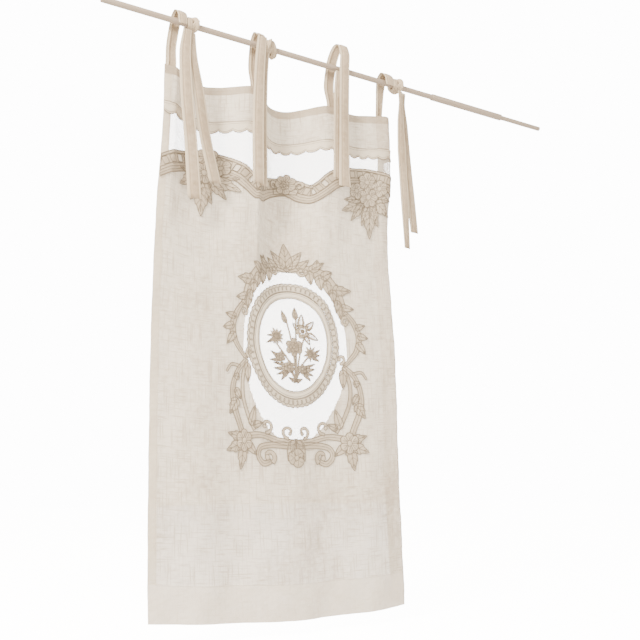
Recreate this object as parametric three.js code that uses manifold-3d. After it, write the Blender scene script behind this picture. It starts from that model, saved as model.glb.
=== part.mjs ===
// A net curtain hung by four ties from a plain rod. Lengths are in millimetres.
// X runs along the rod to the right, Y away from the viewer and Z up, from the centre of the rod's left end face.
// Cloth places are given flat, as cut: "across" from the left edge and "down" from the top edge.
import * as THREE from "three";
import { mergeVertices } from "three/addons/utils/BufferGeometryUtils.js";
import Module from "manifold-3d";

const wasm = await Module();
wasm.setup();

// Rod: a main tube, a thicker sleeve round its right part and a thin end that goes into it.
const ROD = { length: 1300, radius: 7, sides: 28, chamfer: 1.2 };
const SLEEVE = { from: 900, to: 1149, radius: 8.8, wall: 1.4 };
const THIN_END = { from: 1148, radius: 6.2 };
const GAP = 0.35;

// Panel as cut, with its hems and the place where its right edge starts to turn back.
const CLOTH = { width: 670, length: 1200, turnAt: 612, thick: 1.2 };
const HEM = { top: 20, side: 18, bottom: 75, thick: 2, step: 2 };
// The hung cloth is made of flat facets: how many there are in a span, round the turned edge, and down the cloth.
const FACETS = { inSpan: 5, spanSkew: 1.15, inTurn: 4, down: 15 };
// How far the lower edge hangs: lower in the middle and a little lower on the right.
const LOWER_EDGE = { height: -1300, middleDrop: 12, rightDrop: 8 };
// The middle of the panel bows towards the viewer as it nears the floor.
const BOW = { depth: 16, from: 500 };

// The panel's two edges as it hangs, the depth they stand back, and the radius of the right edge's turn.
const EDGES = [
  { down: 0, left: 148, right: 768, leftBack: 0, rightBack: 6, turn: 15 },
  { down: 150, left: 150, right: 774, leftBack: 2, rightBack: 12, turn: 14 },
  { down: 330, left: 143, right: 764, leftBack: 0, rightBack: 18, turn: 13 },
  { down: 620, left: 142, right: 771, leftBack: -3, rightBack: 5, turn: 12 },
  { down: 900, left: 149, right: 775, leftBack: -3, rightBack: 3, turn: 13 },
  { down: 1100, left: 157, right: 788, leftBack: 0, rightBack: 10, turn: 15 },
  { down: 1200, left: 163, right: 798, leftBack: 2, rightBack: 20, turn: 17 },
];

// Each stretch between two ties: it sags, and it bulges back, most near its skewed middle, down to where it fades.
const SPANS = [
  { from: 28, to: 214, fromTop: -112, toTop: -110, sag: 8, bulge: 42, skew: 0.85, fadeFrom: 120, fadeTo: 560 },
  { from: 242, to: 428, fromTop: -110, toTop: -107, sag: 14, bulge: 62, skew: 0.78, fadeFrom: 250, fadeTo: 620 },
  { from: 456, to: 612, fromTop: -107, toTop: -90, sag: 4, bulge: 14, skew: 0.75, fadeFrom: 100, fadeTo: 420 },
];
const BULGE_ROUNDING = 1.25;

// Soft upright folds of the lower cloth: where each runs, how wide and deep it is, and where it starts and is full.
const FOLDS = [
  { across: 96, width: 60, depth: -9, slant: 20, from: 420, full: 900 },
  { across: 190, width: 46, depth: 8, slant: -14, from: 520, full: 1050 },
  { across: 300, width: 70, depth: -8, slant: 16, from: 700, full: 1150 },
  { across: 430, width: 54, depth: 9, slant: -22, from: 560, full: 1000 },
  { across: 520, width: 52, depth: -10, slant: 12, from: 300, full: 800 },
];

// Sewn and embroidered layers lie in front of the cloth's middle: each layer's back and front.
const LAYER = {
  linen: { back: -0.6, front: 0.6, isHemmed: true },
  net: { back: -0.6, front: 0.6 },
  lace: { back: 1.35, front: 2.45 },
  spray: { back: 2.8, front: 3.9 },
  wreath: { back: 2.8, front: 4.2 },
  bouquet: { back: 1, front: 2.1 },
};
const SEAM_GAP = 0.5;

const BAND = { top: 88, height: 21, scallop: 7, scallops: 23, fullness: 0.7, pointsPerScallop: 3, end: 1 };
// The net below the heading starts behind the middle of the band, and its lower corners dip.
const HEADING_NET = { topPoints: 30, cornerDip: 6 };

// The ladder border's lower edge.
const BORDER_LINE = [
  { across: -40, down: 292 },
  { across: 0, down: 270 },
  { across: 66, down: 231 },
  { across: 128, down: 212 },
  { across: 182, down: 233 },
  { across: 226, down: 261 },
  { across: 262, down: 259 },
  { across: 298, down: 234 },
  { across: 335, down: 223 },
  { across: 366, down: 240 },
  { across: 394, down: 249 },
  { across: 426, down: 234 },
  { across: 460, down: 206 },
  { across: 505, down: 190 },
  { across: 560, down: 190 },
  { across: 620, down: 206 },
  { across: 670, down: 232 },
  { across: 710, down: 258 },
];
// Across the border, from its lower edge: ribbon, windows between rungs, upper cord.
const BORDER = { ribbon: 19, windows: 20, cord: 6, windowWidth: 13, pitch: 38, samples: 400, step: 20, end: 2 };
// The border's windows stay closed behind the sprays and the shell flower.
const CLOSED_WINDOWS = [
  { from: 78, to: 150 },
  { from: 285, to: 385 },
  { from: 500, to: 700 },
];

const MEDALLION = { across: 335, down: 600, opening: { width: 139, height: 176, foot: 52, footWidth: 1.12 } };
const WREATH = { width: 118, height: 147, inner: 0.865, steps: 72, lobes: 24, relief: 1, scallop: 3.2, sway: 0.025 };
const RING = { width: 100.5, height: 126, inner: 0.872, steps: 48, crown: 1.2 };
// Points this near to each other are one point, points this near to a line lie on it,
// and a line that turns by less than this angle, in radians, is straight.
const WELD = 1e-3;
const ON_LINE = 1e-5;
const STRAIGHT = 2e-3;

const COLOURS = {
  linen: { color: 0xefe8dd, roughness: 0.9, metalness: 0 },
  net: { color: 0xf3eee6, roughness: 0.85, metalness: 0 },
  lace: { color: 0xd8cdbd, roughness: 0.8, metalness: 0 },
  embroidery: { color: 0xc3b7a6, roughness: 0.7, metalness: 0 },
  ribbon: { color: 0xd9cdb9, roughness: 0.85, metalness: 0 },
  rod: { color: 0xc4b6a5, roughness: 0.45, metalness: 0.1 },
};

// Reads a column of a table between its rows, on a smooth curve through them.
function readTable(rows, key, column, at) {
  const last = rows.length - 1;
  let i = 0;
  while (i < last - 1 && at > rows[i + 1][key]) i += 1;
  const slope = (n) => {
    const before = rows[Math.max(0, n - 1)];
    const after = rows[Math.min(last, n + 1)];
    return (after[column] - before[column]) / (after[key] - before[key]);
  };
  const span = rows[i + 1][key] - rows[i][key];
  const t = THREE.MathUtils.clamp((at - rows[i][key]) / span, 0, 1);
  const start = rows[i][column] * (1 + 2 * t) * (1 - t) ** 2 + slope(i) * span * t * (1 - t) ** 2;
  const end = rows[i + 1][column] * (3 - 2 * t) * t ** 2 - slope(i + 1) * span * (1 - t) * t ** 2;
  return start + end;
}

// How far a stretch between two ties has swung out, from 0 at the ties to 1.
function spanSwing(span, across) {
  const t = THREE.MathUtils.clamp((across - span.from) / (span.to - span.from), 0, 1);
  return Math.max(0, Math.sin(Math.PI * t ** span.skew));
}

function topEdge(across) {
  const span = SPANS.find((s) => across <= s.to) ?? SPANS.at(-1);
  const t = THREE.MathUtils.clamp((across - span.from) / (span.to - span.from), 0, 1);
  return THREE.MathUtils.lerp(span.fromTop, span.toTop, t) - span.sag * spanSwing(span, across);
}

function lowerEdge(across) {
  const t = across / CLOTH.width;
  return LOWER_EDGE.height - LOWER_EDGE.middleDrop * Math.sin(Math.PI * t) - LOWER_EDGE.rightDrop * t;
}

// How far the cloth stands back from the rod's plane, before the right edge turns.
function standBack(across, down) {
  const t = across / CLOTH.turnAt;
  let back = readTable(EDGES, "down", "leftBack", down) * (1 - t) ** 3;
  back += readTable(EDGES, "down", "rightBack", down) * t ** 5;
  for (const span of SPANS) {
    const fade = 1 - THREE.MathUtils.smoothstep(down, span.fadeFrom, span.fadeTo);
    back += span.bulge * fade * spanSwing(span, across) ** BULGE_ROUNDING;
  }
  back -= BOW.depth * Math.sin(Math.PI * t) * THREE.MathUtils.smoothstep(down, BOW.from, CLOTH.length);
  for (const fold of FOLDS) {
    const growth = THREE.MathUtils.smoothstep(down, fold.from, fold.full);
    const offset = (across - fold.across - (fold.slant * down) / CLOTH.length) / fold.width;
    back += fold.depth * growth * Math.exp(-offset * offset);
  }
  return back;
}

// The hung place of a point of the cloth's middle surface. Past turnAt the right edge goes round a half circle.
function hungMiddle(across, down) {
  const left = readTable(EDGES, "down", "left", down);
  const right = readTable(EDGES, "down", "right", down);
  const radius = readTable(EDGES, "down", "turn", down);
  const flat = Math.min(across, CLOTH.turnAt);
  const past = across - flat;
  const angle = Math.min(past / radius, Math.PI);
  const straight = past - angle * radius;
  const x = left + ((right - radius - left) * flat) / CLOTH.turnAt + radius * Math.sin(angle) - straight;
  const y = standBack(flat, down) + radius * (1 - Math.cos(angle));
  const z = THREE.MathUtils.lerp(topEdge(across), lowerEdge(across), down / CLOTH.length);
  return new THREE.Vector3(x, y, z);
}

// The hung place of a point that lies in front of the smooth cloth's middle by lift.
function hung(across, down, lift) {
  const step = 1;
  const alongAcross = hungMiddle(across + step, down).sub(hungMiddle(across - step, down));
  const alongDown = hungMiddle(across, down + step).sub(hungMiddle(across, down - step));
  const forward = alongDown.cross(alongAcross).normalize();
  return hungMiddle(across, down).addScaledVector(forward, lift);
}

// Evenly spread places from one end to the other, or closer together at the start if skewed.
const spread = (from, to, count, skew = 1) =>
  Array.from({ length: count + 1 }, (_, n) => from + (to - from) * (n / count) ** skew);

const upTo = (count) => Array.from({ length: count }, (_, n) => n);

const acrossPlaces = [
  0,
  HEM.side - HEM.step,
  HEM.side,
  ...SPANS.flatMap(({ from, to }) => spread(from, to, FACETS.inSpan, FACETS.spanSkew)),
  ...spread(CLOTH.turnAt, CLOTH.width - HEM.side, FACETS.inTurn).slice(1),
  CLOTH.width - HEM.side + HEM.step,
  CLOTH.width,
];
const downPlaces = [
  0,
  HEM.top - HEM.step,
  HEM.top,
  ...spread(HEM.top, CLOTH.length - HEM.bottom, FACETS.down).slice(1),
  CLOTH.length - HEM.bottom + HEM.step,
  CLOTH.length,
];

// The facet that holds a place: its number, and how far the place lies into it.
function facetAt(places, place) {
  let n = 0;
  while (n < places.length - 2 && place > places[n + 1]) n += 1;
  return { n, into: (place - places[n]) / (places[n + 1] - places[n]) };
}

const isInHem = (across, down) =>
  across < HEM.side || across > CLOTH.width - HEM.side || down < HEM.top || down > CLOTH.length - HEM.bottom;

// The hung place of a corner of the facets, on the back or the front of a layer. A hemmed layer is thicker there.
function facetCorner(i, j, layer, side) {
  const [across, down] = [acrossPlaces[i], downPlaces[j]];
  const extra = layer.isHemmed && isInHem(across, down) ? (HEM.thick - CLOTH.thick) / 2 : 0;
  return hung(across, down, side === "front" ? layer.front + extra : layer.back - extra);
}

// A place on the flat facets of the cloth. Each is halved by a diagonal from its upper left corner.
function onCloth(across, down, layer, side) {
  const { n: i, into: s } = facetAt(acrossPlaces, across);
  const { n: j, into: t } = facetAt(downPlaces, down);
  const between = t >= s ? facetCorner(i, j + 1, layer, side) : facetCorner(i + 1, j, layer, side);
  return facetCorner(i, j, layer, side)
    .multiplyScalar(1 - Math.max(s, t))
    .addScaledVector(between, Math.abs(t - s))
    .addScaledVector(facetCorner(i + 1, j + 1, layer, side), Math.min(s, t));
}

function geometryOf(points, triangles) {
  const flat = points.flatMap((p) => [p.x, p.y, p.z]);
  const geometry = new THREE.BufferGeometry();
  geometry.setAttribute("position", new THREE.Float32BufferAttribute(flat, 3));
  geometry.setIndex(triangles.flat());
  return geometry;
}

// A skin over sections that all have the same number of points, joined end to end or capped at both ends.
function skinOver(sections, isLoop) {
  const size = sections[0].length;
  const points = sections.flat();
  const triangles = [];
  const spans = isLoop ? sections.length : sections.length - 1;
  for (let s = 0; s < spans; s += 1) {
    const here = s * size;
    const there = ((s + 1) % sections.length) * size;
    for (let k = 0; k < size; k += 1) {
      const next = (k + 1) % size;
      triangles.push([here + k, here + next, there + next], [here + k, there + next, there + k]);
    }
  }
  if (!isLoop) {
    const end = (sections.length - 1) * size;
    for (let k = 1; k < size - 1; k += 1) {
      triangles.push([0, k + 1, k], [end, end + k, end + k + 1]);
    }
  }
  return geometryOf(points, triangles);
}

function solidOf(geometry) {
  const bare = new THREE.BufferGeometry();
  bare.setAttribute("position", geometry.getAttribute("position"));
  if (geometry.index) bare.setIndex(geometry.index);
  const merged = mergeVertices(bare, WELD);
  return new wasm.Manifold(
    new wasm.Mesh({
      numProp: 3,
      vertProperties: new Float32Array(merged.getAttribute("position").array),
      triVerts: new Uint32Array(merged.index.array),
    }),
  );
}

// Flat outlines are drawn with x across and y up, so a point's y is minus its place down the cloth.
function prismOf(outline) {
  return solidOf(new THREE.ExtrudeGeometry(new THREE.Shape(outline), { depth: 1, bevelEnabled: false }));
}

// The upper faces of a flat solid as triangles.
function facesOf(solid) {
  const { vertProperties, triVerts } = solid.getMesh();
  const triangles = [];
  for (let n = 0; n < triVerts.length; n += 3) {
    const corners = [...triVerts.slice(n, n + 3)].map((k) => new THREE.Vector3().fromArray(vertProperties, 3 * k));
    if (corners.every(({ z }) => z > 0.5)) triangles.push(corners.map(({ x, y }) => new THREE.Vector2(x, y)));
  }
  return triangles;
}

const facesOfAll = (outlines) => facesOf(outlines.map(prismOf).reduce((whole, next) => whole.add(next)));

// Splits flat polygons along the line on which valueOf is zero.
function splitBy(polygons, valueOf) {
  return polygons.flatMap((polygon) => {
    const values = polygon.map(valueOf);
    if (values.every((v) => v > -ON_LINE) || values.every((v) => v < ON_LINE)) return [polygon];
    const halves = [[], []];
    polygon.forEach((p, n) => {
      const next = (n + 1) % polygon.length;
      const [v, w] = [values[n], values[next]];
      if (v > -ON_LINE) halves[0].push(p);
      if (v < ON_LINE) halves[1].push(p);
      if (Math.min(v, w) < -ON_LINE && Math.max(v, w) > ON_LINE) {
        const crossing = p.clone().lerp(polygon[next], v / (v - w));
        halves.forEach((half) => half.push(crossing));
      }
    });
    return halves;
  });
}

// Splits flat triangles wherever a facet of the cloth ends, and sorts the pieces by facet.
function splitAtFacets(triangles) {
  let polygons = triangles;
  for (const across of acrossPlaces) polygons = splitBy(polygons, (p) => p.x - across);
  for (const down of downPlaces) polygons = splitBy(polygons, (p) => -p.y - down);
  const facets = new Map();
  for (const polygon of polygons) {
    const middle = middleOf(polygon);
    const { n: i } = facetAt(acrossPlaces, middle.x);
    const { n: j } = facetAt(downPlaces, -middle.y);
    const width = acrossPlaces[i + 1] - acrossPlaces[i];
    const height = downPlaces[j + 1] - downPlaces[j];
    const overDiagonal = (p) => (p.x - acrossPlaces[i]) / width - (-p.y - downPlaces[j]) / height;
    for (const piece of splitBy([polygon], overDiagonal)) {
      const key = [i, j, overDiagonal(middleOf(piece)) > 0].join();
      facets.set(key, [...(facets.get(key) ?? []), piece]);
    }
  }
  return [...facets.values()];
}

const middleOf = (polygon) =>
  polygon.reduce((sum, p) => sum.addScaledVector(p, 1 / polygon.length), new THREE.Vector2());
const nameOf = (p) => Math.round(p.x / WELD) + " " + Math.round(p.y / WELD);
const edgesOf = (loop) => loop.map((p, n) => [p, loop[(n + 1) % loop.length]]);

// The edges of polygons that no other polygon shares, by the name of where they start.
function outerEdges(polygons) {
  const edges = new Map();
  for (const [a, b] of polygons.flatMap(edgesOf)) {
    const [start, end] = [nameOf(a), nameOf(b)];
    if (start === end) continue;
    const facing = edges.get(end + "|" + start) ?? [];
    if (facing.length > 0) facing.pop();
    else edges.set(start + "|" + end, [...(edges.get(start + "|" + end) ?? []), [a, b]]);
  }
  return [...edges.values()].flat();
}

// The closed outlines round the polygons of one facet.
function loopsRound(polygons) {
  const following = new Map();
  for (const [a, b] of outerEdges(polygons)) following.set(nameOf(a), [...(following.get(nameOf(a)) ?? []), b]);
  const loops = [];
  for (const [first] of following) {
    while (following.get(first).length > 0) {
      const loop = [];
      let name = first;
      do {
        const next = following.get(name).pop();
        loop.push(next);
        name = nameOf(next);
      } while (name !== first);
      loops.push(loop);
    }
  }
  return loops;
}

// Drops the points that lie on a straight run of every outline they are on.
function withoutStraightPoints(facets) {
  const isBent = new Set();
  for (const loop of facets.flat()) {
    loop.forEach((p, n) => {
      const [before, after] = [loop.at(n - 1), loop[(n + 1) % loop.length]];
      const [u, v] = [p.clone().sub(before), after.clone().sub(p)];
      if (Math.abs(u.cross(v)) > STRAIGHT * u.length() * v.length() || u.dot(v) < 0) isBent.add(nameOf(p));
    });
  }
  return facets.map((loops) =>
    loops.map((loop) => loop.filter((p) => isBent.has(nameOf(p)))).filter((loop) => loop.length > 2),
  );
}

function trianglesIn(loops) {
  const isOuter = (loop) => THREE.ShapeUtils.area(loop) > 0;
  const isInside = (p, loop) =>
    edgesOf(loop).filter(([a, b]) => a.y > p.y !== b.y > p.y && p.x < a.x + ((p.y - a.y) * (b.x - a.x)) / (b.y - a.y))
      .length % 2 === 1;
  return loops.filter(isOuter).flatMap((outer) => {
    const holes = loops.filter((loop) => !isOuter(loop) && isInside(loop[0], outer));
    const points = [outer, ...holes].flat();
    return THREE.ShapeUtils.triangulateShape(outer, holes).map((corners) => corners.map((n) => points[n]));
  });
}

// Hangs flat faces on the cloth's facets, as one solid between a layer's back and its front.
function drape(faces, layer) {
  const facets = withoutStraightPoints(splitAtFacets(faces).map(loopsRound));
  const triangles = facets.flatMap(trianglesIn);
  const [back, front] = ["back", "front"].map((side) => (p) => onCloth(p.x, -p.y, layer, side));
  const skins = triangles.flatMap(([a, b, c]) => [front(a), front(b), front(c), back(a), back(c), back(b)]);
  const rims = outerEdges(triangles).flatMap(([a, b]) => {
    return [front(a), back(a), back(b), front(a), back(b), front(b)];
  });
  return mergeVertices(new THREE.BufferGeometry().setFromPoints([...skins, ...rims]), WELD);
}

const pieceOf = (outlines, layer) => drape(facesOfAll(outlines), layer);

// A flat strip of cells as faces, left open where isOpen says so.
function stripFaces(columns, rows, place, isOpen = () => false) {
  const faces = [];
  for (let j = 0; j < rows; j += 1) {
    for (let i = 0; i < columns; i += 1) {
      if (isOpen(i, j)) continue;
      const corners = [place(i, j), place(i, j + 1), place(i + 1, j + 1), place(i + 1, j)];
      faces.push([corners[0], corners[1], corners[2]], [corners[0], corners[2], corners[3]]);
    }
  }
  return faces;
}

// Outlines in a motif's own frame, x to the right and y up.
const at = (x, y) => new THREE.Vector2(x, y);

// A pointed leaf from its foot to its tip, widest at a third of its length.
function leaf(foot, tip, width) {
  const along = new THREE.Vector2().subVectors(tip, foot);
  const side = new THREE.Vector2(-along.y, along.x).normalize();
  const profile = [
    { at: 0.3, half: 0.5 },
    { at: 0.68, half: 0.32 },
  ];
  const edge = (sign) =>
    profile.map(({ at, half }) => foot.clone().addScaledVector(along, at).addScaledVector(side, -sign * half * width));
  return [foot.clone(), ...edge(1), tip.clone(), ...edge(-1).reverse()];
}

const PETAL_FULLNESS = 0.7;
// A round flower with petals: its edge goes in and out once a petal.
function flower(centre, radius, petals, depth = 0.22, pointsPerPetal = 3) {
  const count = petals * pointsPerPetal;
  return Array.from({ length: count }, (_, n) => {
    const angle = (2 * Math.PI * n) / count;
    const reach = radius * (1 - depth + depth * Math.abs(Math.sin((petals * angle) / 2)) ** PETAL_FULLNESS);
    return centre.clone().add(new THREE.Vector2(Math.cos(angle), Math.sin(angle)).multiplyScalar(reach));
  });
}

// A tape along a smooth line through a few points, with a width at each.
function tape(rows, steps) {
  const line = new THREE.SplineCurve(rows.map(({ x, y }) => new THREE.Vector2(x, y)));
  const widthAt = (t) => {
    const place = t * (rows.length - 1);
    const n = Math.min(rows.length - 2, Math.floor(place));
    return THREE.MathUtils.lerp(rows[n].width, rows[n + 1].width, place - n);
  };
  const edge = (sign) =>
    Array.from({ length: steps + 1 }, (_, n) => {
      const t = n / steps;
      const along = line.getTangent(t);
      return line.getPoint(t).add(new THREE.Vector2(-along.y, along.x).multiplyScalar((-sign * widthAt(t)) / 2));
    });
  return [...edge(1), ...edge(-1).reverse()];
}

// A volute: a tape that winds in towards its centre and ends in a round boss.
const VOLUTE = { inwards: 0.62, taper: 0.25, boss: 0.75, bossSides: 5, steps: 6 };
function volute(centre, radius, start, turn, width) {
  const rows = spread(0, 1, VOLUTE.steps).map((t) => {
    const angle = start + turn * t;
    const reach = radius * (1 - VOLUTE.inwards * t);
    return {
      x: centre.x + reach * Math.cos(angle),
      y: centre.y + reach * Math.sin(angle),
      width: width * (1 - VOLUTE.taper * t),
    };
  });
  const { x, y } = rows.at(-1);
  return [tape(rows, VOLUTE.steps), flower(at(x, y), width * VOLUTE.boss, 1, 0, VOLUTE.bossSides)];
}

// Puts a motif's outlines at a place of the cloth, mirrored left to right if asked.
function placeMotif(outlines, across, down, isMirrored = false) {
  return outlines.map((outline) => {
    const moved = outline.map((p) => at(across + (isMirrored ? -p.x : p.x), p.y - down));
    return isMirrored ? moved.reverse() : moved;
  });
}

// A spray: a three-part leaf that hangs down, a leaf to each side, three flowers and a bud. +x is towards the middle.
const SPRAY_LEAVES = [
  { footX: 2, footY: 6, tipX: 0, tipY: -95, width: 46 },
  { footX: 0, footY: 4, tipX: 26, tipY: -62, width: 30 },
  { footX: 2, footY: 4, tipX: -27, tipY: -60, width: 30 },
  { footX: 14, footY: 8, tipX: 90, tipY: -30, width: 34 },
  { footX: 20, footY: 2, tipX: 58, tipY: -50, width: 26 },
  { footX: 24, footY: 10, tipX: 84, tipY: 2, width: 24 },
  { footX: -12, footY: 8, tipX: -58, tipY: -34, width: 32 },
  { footX: -16, footY: 14, tipX: -60, tipY: 8, width: 24 },
];
const SPRAY_FLOWERS = [
  { x: -26, y: 40, radius: 23, petals: 6 },
  { x: 12, y: 56, radius: 26, petals: 6 },
  { x: 44, y: 30, radius: 22, petals: 5 },
  { x: 6, y: 16, radius: 28, petals: 7 },
];
const SPRAY = { leftAcross: 110, down: 235 };
function sprayOutlines() {
  return [
    ...leavesFrom(SPRAY_LEAVES),
    ...SPRAY_FLOWERS.map(flowerFrom),
  ];
}

// The border's shell flower: a fan of round lobes over a low foot, with a volute at each side.
const SHELL = {
  across: 335,
  down: 202,
  fan: { y: 8, radius: 27, lobes: 7 },
  volute: { x: 33, y: 2, radius: 11, width: 7 },
  foot: [
    { x: -29, y: -14, width: 12 },
    { x: 0, y: -8, width: 16 },
    { x: 29, y: -14, width: 12 },
  ],
};
function shellOutlines() {
  const { fan, volute: curl, foot } = SHELL;
  const sides = [-1, 1].flatMap((side) =>
    volute(at(side * curl.x, curl.y), curl.radius, side > 0 ? Math.PI : 0, side * -1.5 * Math.PI, curl.width),
  );
  return [flower(at(0, fan.y), fan.radius, fan.lobes), tape(foot, 2 * foot.length), ...sides];
}

// Gives an outline the winding that an extruded shape expects.
function turnedOut(outline) {
  return THREE.ShapeUtils.isClockWise(outline) ? [...outline].reverse() : outline;
}

// The medallion's right half. Its left half is the same, mirrored. Origin at the oval's centre.
const FRAME_TAPES = {
  shoulder: [
    { x: 0, y: 182, width: 12 },
    { x: 34, y: 186, width: 16 },
    { x: 84, y: 162, width: 24 },
    { x: 122, y: 118, width: 22 },
    { x: 140, y: 74, width: 14 },
  ],
  sideScroll: [
    { x: 138, y: 80, width: 10 },
    { x: 160, y: 56, width: 14 },
    { x: 174, y: 22, width: 15 },
    { x: 166, y: -12, width: 12 },
    { x: 144, y: -38, width: 10 },
    { x: 128, y: -50, width: 10 },
  ],
  lowerOuter: [
    { x: 128, y: -50, width: 10 },
    { x: 156, y: -74, width: 11 },
    { x: 172, y: -110, width: 12 },
    { x: 170, y: -152, width: 14 },
    { x: 152, y: -196, width: 14 },
    { x: 138, y: -226, width: 12 },
  ],
  lowerInner: [
    { x: 128, y: -52, width: 9 },
    { x: 142, y: -86, width: 9 },
    { x: 144, y: -128, width: 9 },
    { x: 128, y: -172, width: 9 },
    { x: 108, y: -204, width: 9 },
  ],
  bar: [
    { x: -2, y: -226, width: 15 },
    { x: 40, y: -222, width: 13 },
    { x: 84, y: -214, width: 12 },
    { x: 128, y: -218, width: 14 },
  ],
  footCurl: [
    { x: 20, y: -232, width: 14 },
    { x: 58, y: -232, width: 13 },
    { x: 90, y: -240, width: 12 },
    { x: 98, y: -258, width: 12 },
    { x: 84, y: -274, width: 12 },
    { x: 64, y: -268, width: 11 },
  ],
  tendril: [
    { x: 152, y: -68, width: 7 },
    { x: 176, y: -64, width: 6 },
    { x: 190, y: -80, width: 5 },
  ],
};
const FRAME_LEAVES = [
  { footX: 26, footY: 184, tipX: 52, tipY: 206, width: 20 },
  { footX: 52, footY: 178, tipX: 86, tipY: 196, width: 20 },
  { footX: 78, footY: 160, tipX: 118, tipY: 172, width: 24 },
  { footX: 106, footY: 130, tipX: 168, tipY: 126, width: 30 },
  { footX: 128, footY: 92, tipX: 164, tipY: 88, width: 18 },
  { footX: 118, footY: 108, tipX: 128, tipY: 60, width: 24 },
  { footX: 164, footY: 42, tipX: 194, tipY: 50, width: 16 },
  { footX: 170, footY: 24, tipX: 200, tipY: 18, width: 18 },
  { footX: 168, footY: 8, tipX: 190, tipY: -20, width: 18 },
  { footX: 128, footY: -58, tipX: 126, tipY: -104, width: 20 },
  { footX: 160, footY: -138, tipX: 182, tipY: -172, width: 26 },
  { footX: 120, footY: -196, tipX: 104, tipY: -150, width: 20 },
  { footX: 140, footY: -224, tipX: 186, tipY: -212, width: 24 },
  { footX: 144, footY: -232, tipX: 190, tipY: -250, width: 28 },
  { footX: 142, footY: -236, tipX: 152, tipY: -290, width: 30 },
  { footX: 132, footY: -232, tipX: 102, tipY: -258, width: 20 },
];
const FRAME_VOLUTES = [
  { x: 34, y: 176, radius: 11, start: 0.4, turn: -5, width: 7 },
  { x: 138, y: 56, radius: 12, start: 1.2, turn: 5, width: 7 },
  { x: 122, y: -34, radius: 11, start: 4.6, turn: 5, width: 7 },
  { x: 20, y: -202, radius: 15, start: 4.7, turn: 5.4, width: 7 },
  { x: 74, y: -192, radius: 16, start: 4.9, turn: -5.2, width: 7 },
  { x: 68, y: -258, radius: 15, start: 4.2, turn: -4.6, width: 10 },
];
const FRAME_CORNER_FLOWER = { x: 140, y: -228, radius: 24, petals: 6 };
const FRAME_MIDDLE = {
  topLeaves: [
    { footX: 0, footY: 178, tipX: 0, tipY: 252, width: 34 },
    { footX: -4, footY: 186, tipX: -38, tipY: 228, width: 26 },
    { footX: 4, footY: 186, tipX: 38, tipY: 228, width: 26 },
  ],
  tulip: [
    { footX: 0, footY: -216, tipX: 0, tipY: -268, width: 34 },
    { footX: -2, footY: -220, tipX: -22, tipY: -266, width: 28 },
    { footX: 2, footY: -220, tipX: 22, tipY: -266, width: 28 },
  ],
  tulipHeart: { x: 0, y: -258, radius: 22, petals: 3 },
};
const flowerFrom = ({ x, y, radius, petals }) => flower(at(x, y), radius, petals);
const leavesFrom = (rows) => rows.map((row) => leaf(at(row.footX, row.footY), at(row.tipX, row.tipY), row.width));

const FRAME_STEPS_PER_ROW = 1.4;

function medallionFrameOutlines() {
  const half = [
    ...Object.values(FRAME_TAPES).map((rows) => tape(rows, Math.ceil(FRAME_STEPS_PER_ROW * rows.length))),
    ...leavesFrom(FRAME_LEAVES),
    ...FRAME_VOLUTES.flatMap((row) => volute(at(row.x, row.y), row.radius, row.start, row.turn, row.width)),
    flowerFrom(FRAME_CORNER_FLOWER),
  ];
  const middle = [
    ...leavesFrom(FRAME_MIDDLE.topLeaves),
    ...leavesFrom(FRAME_MIDDLE.tulip),
    flowerFrom(FRAME_MIDDLE.tulipHeart),
  ];
  const { across, down } = MEDALLION;
  return [
    ...placeMotif(half, across, down),
    ...placeMotif(half, across, down, true),
    ...placeMotif(middle, across, down),
  ].map(turnedOut);
}

// The opening behind the medallion's frame: an oval whose lower part is a little wider and longer.
function openingOutline(inset, steps = 32) {
  const { width, height, foot, footWidth } = MEDALLION.opening;
  return Array.from({ length: steps }, (_, n) => {
    const angle = (2 * Math.PI * n) / steps;
    const low = Math.max(0, -Math.sin(angle));
    const halfWidth = width * THREE.MathUtils.lerp(1, footWidth, low) - inset;
    const halfHeight = height + foot * low ** 2 - inset;
    const x = MEDALLION.across + halfWidth * Math.cos(angle);
    return at(x, halfHeight * Math.sin(angle) - MEDALLION.down);
  });
}

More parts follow.
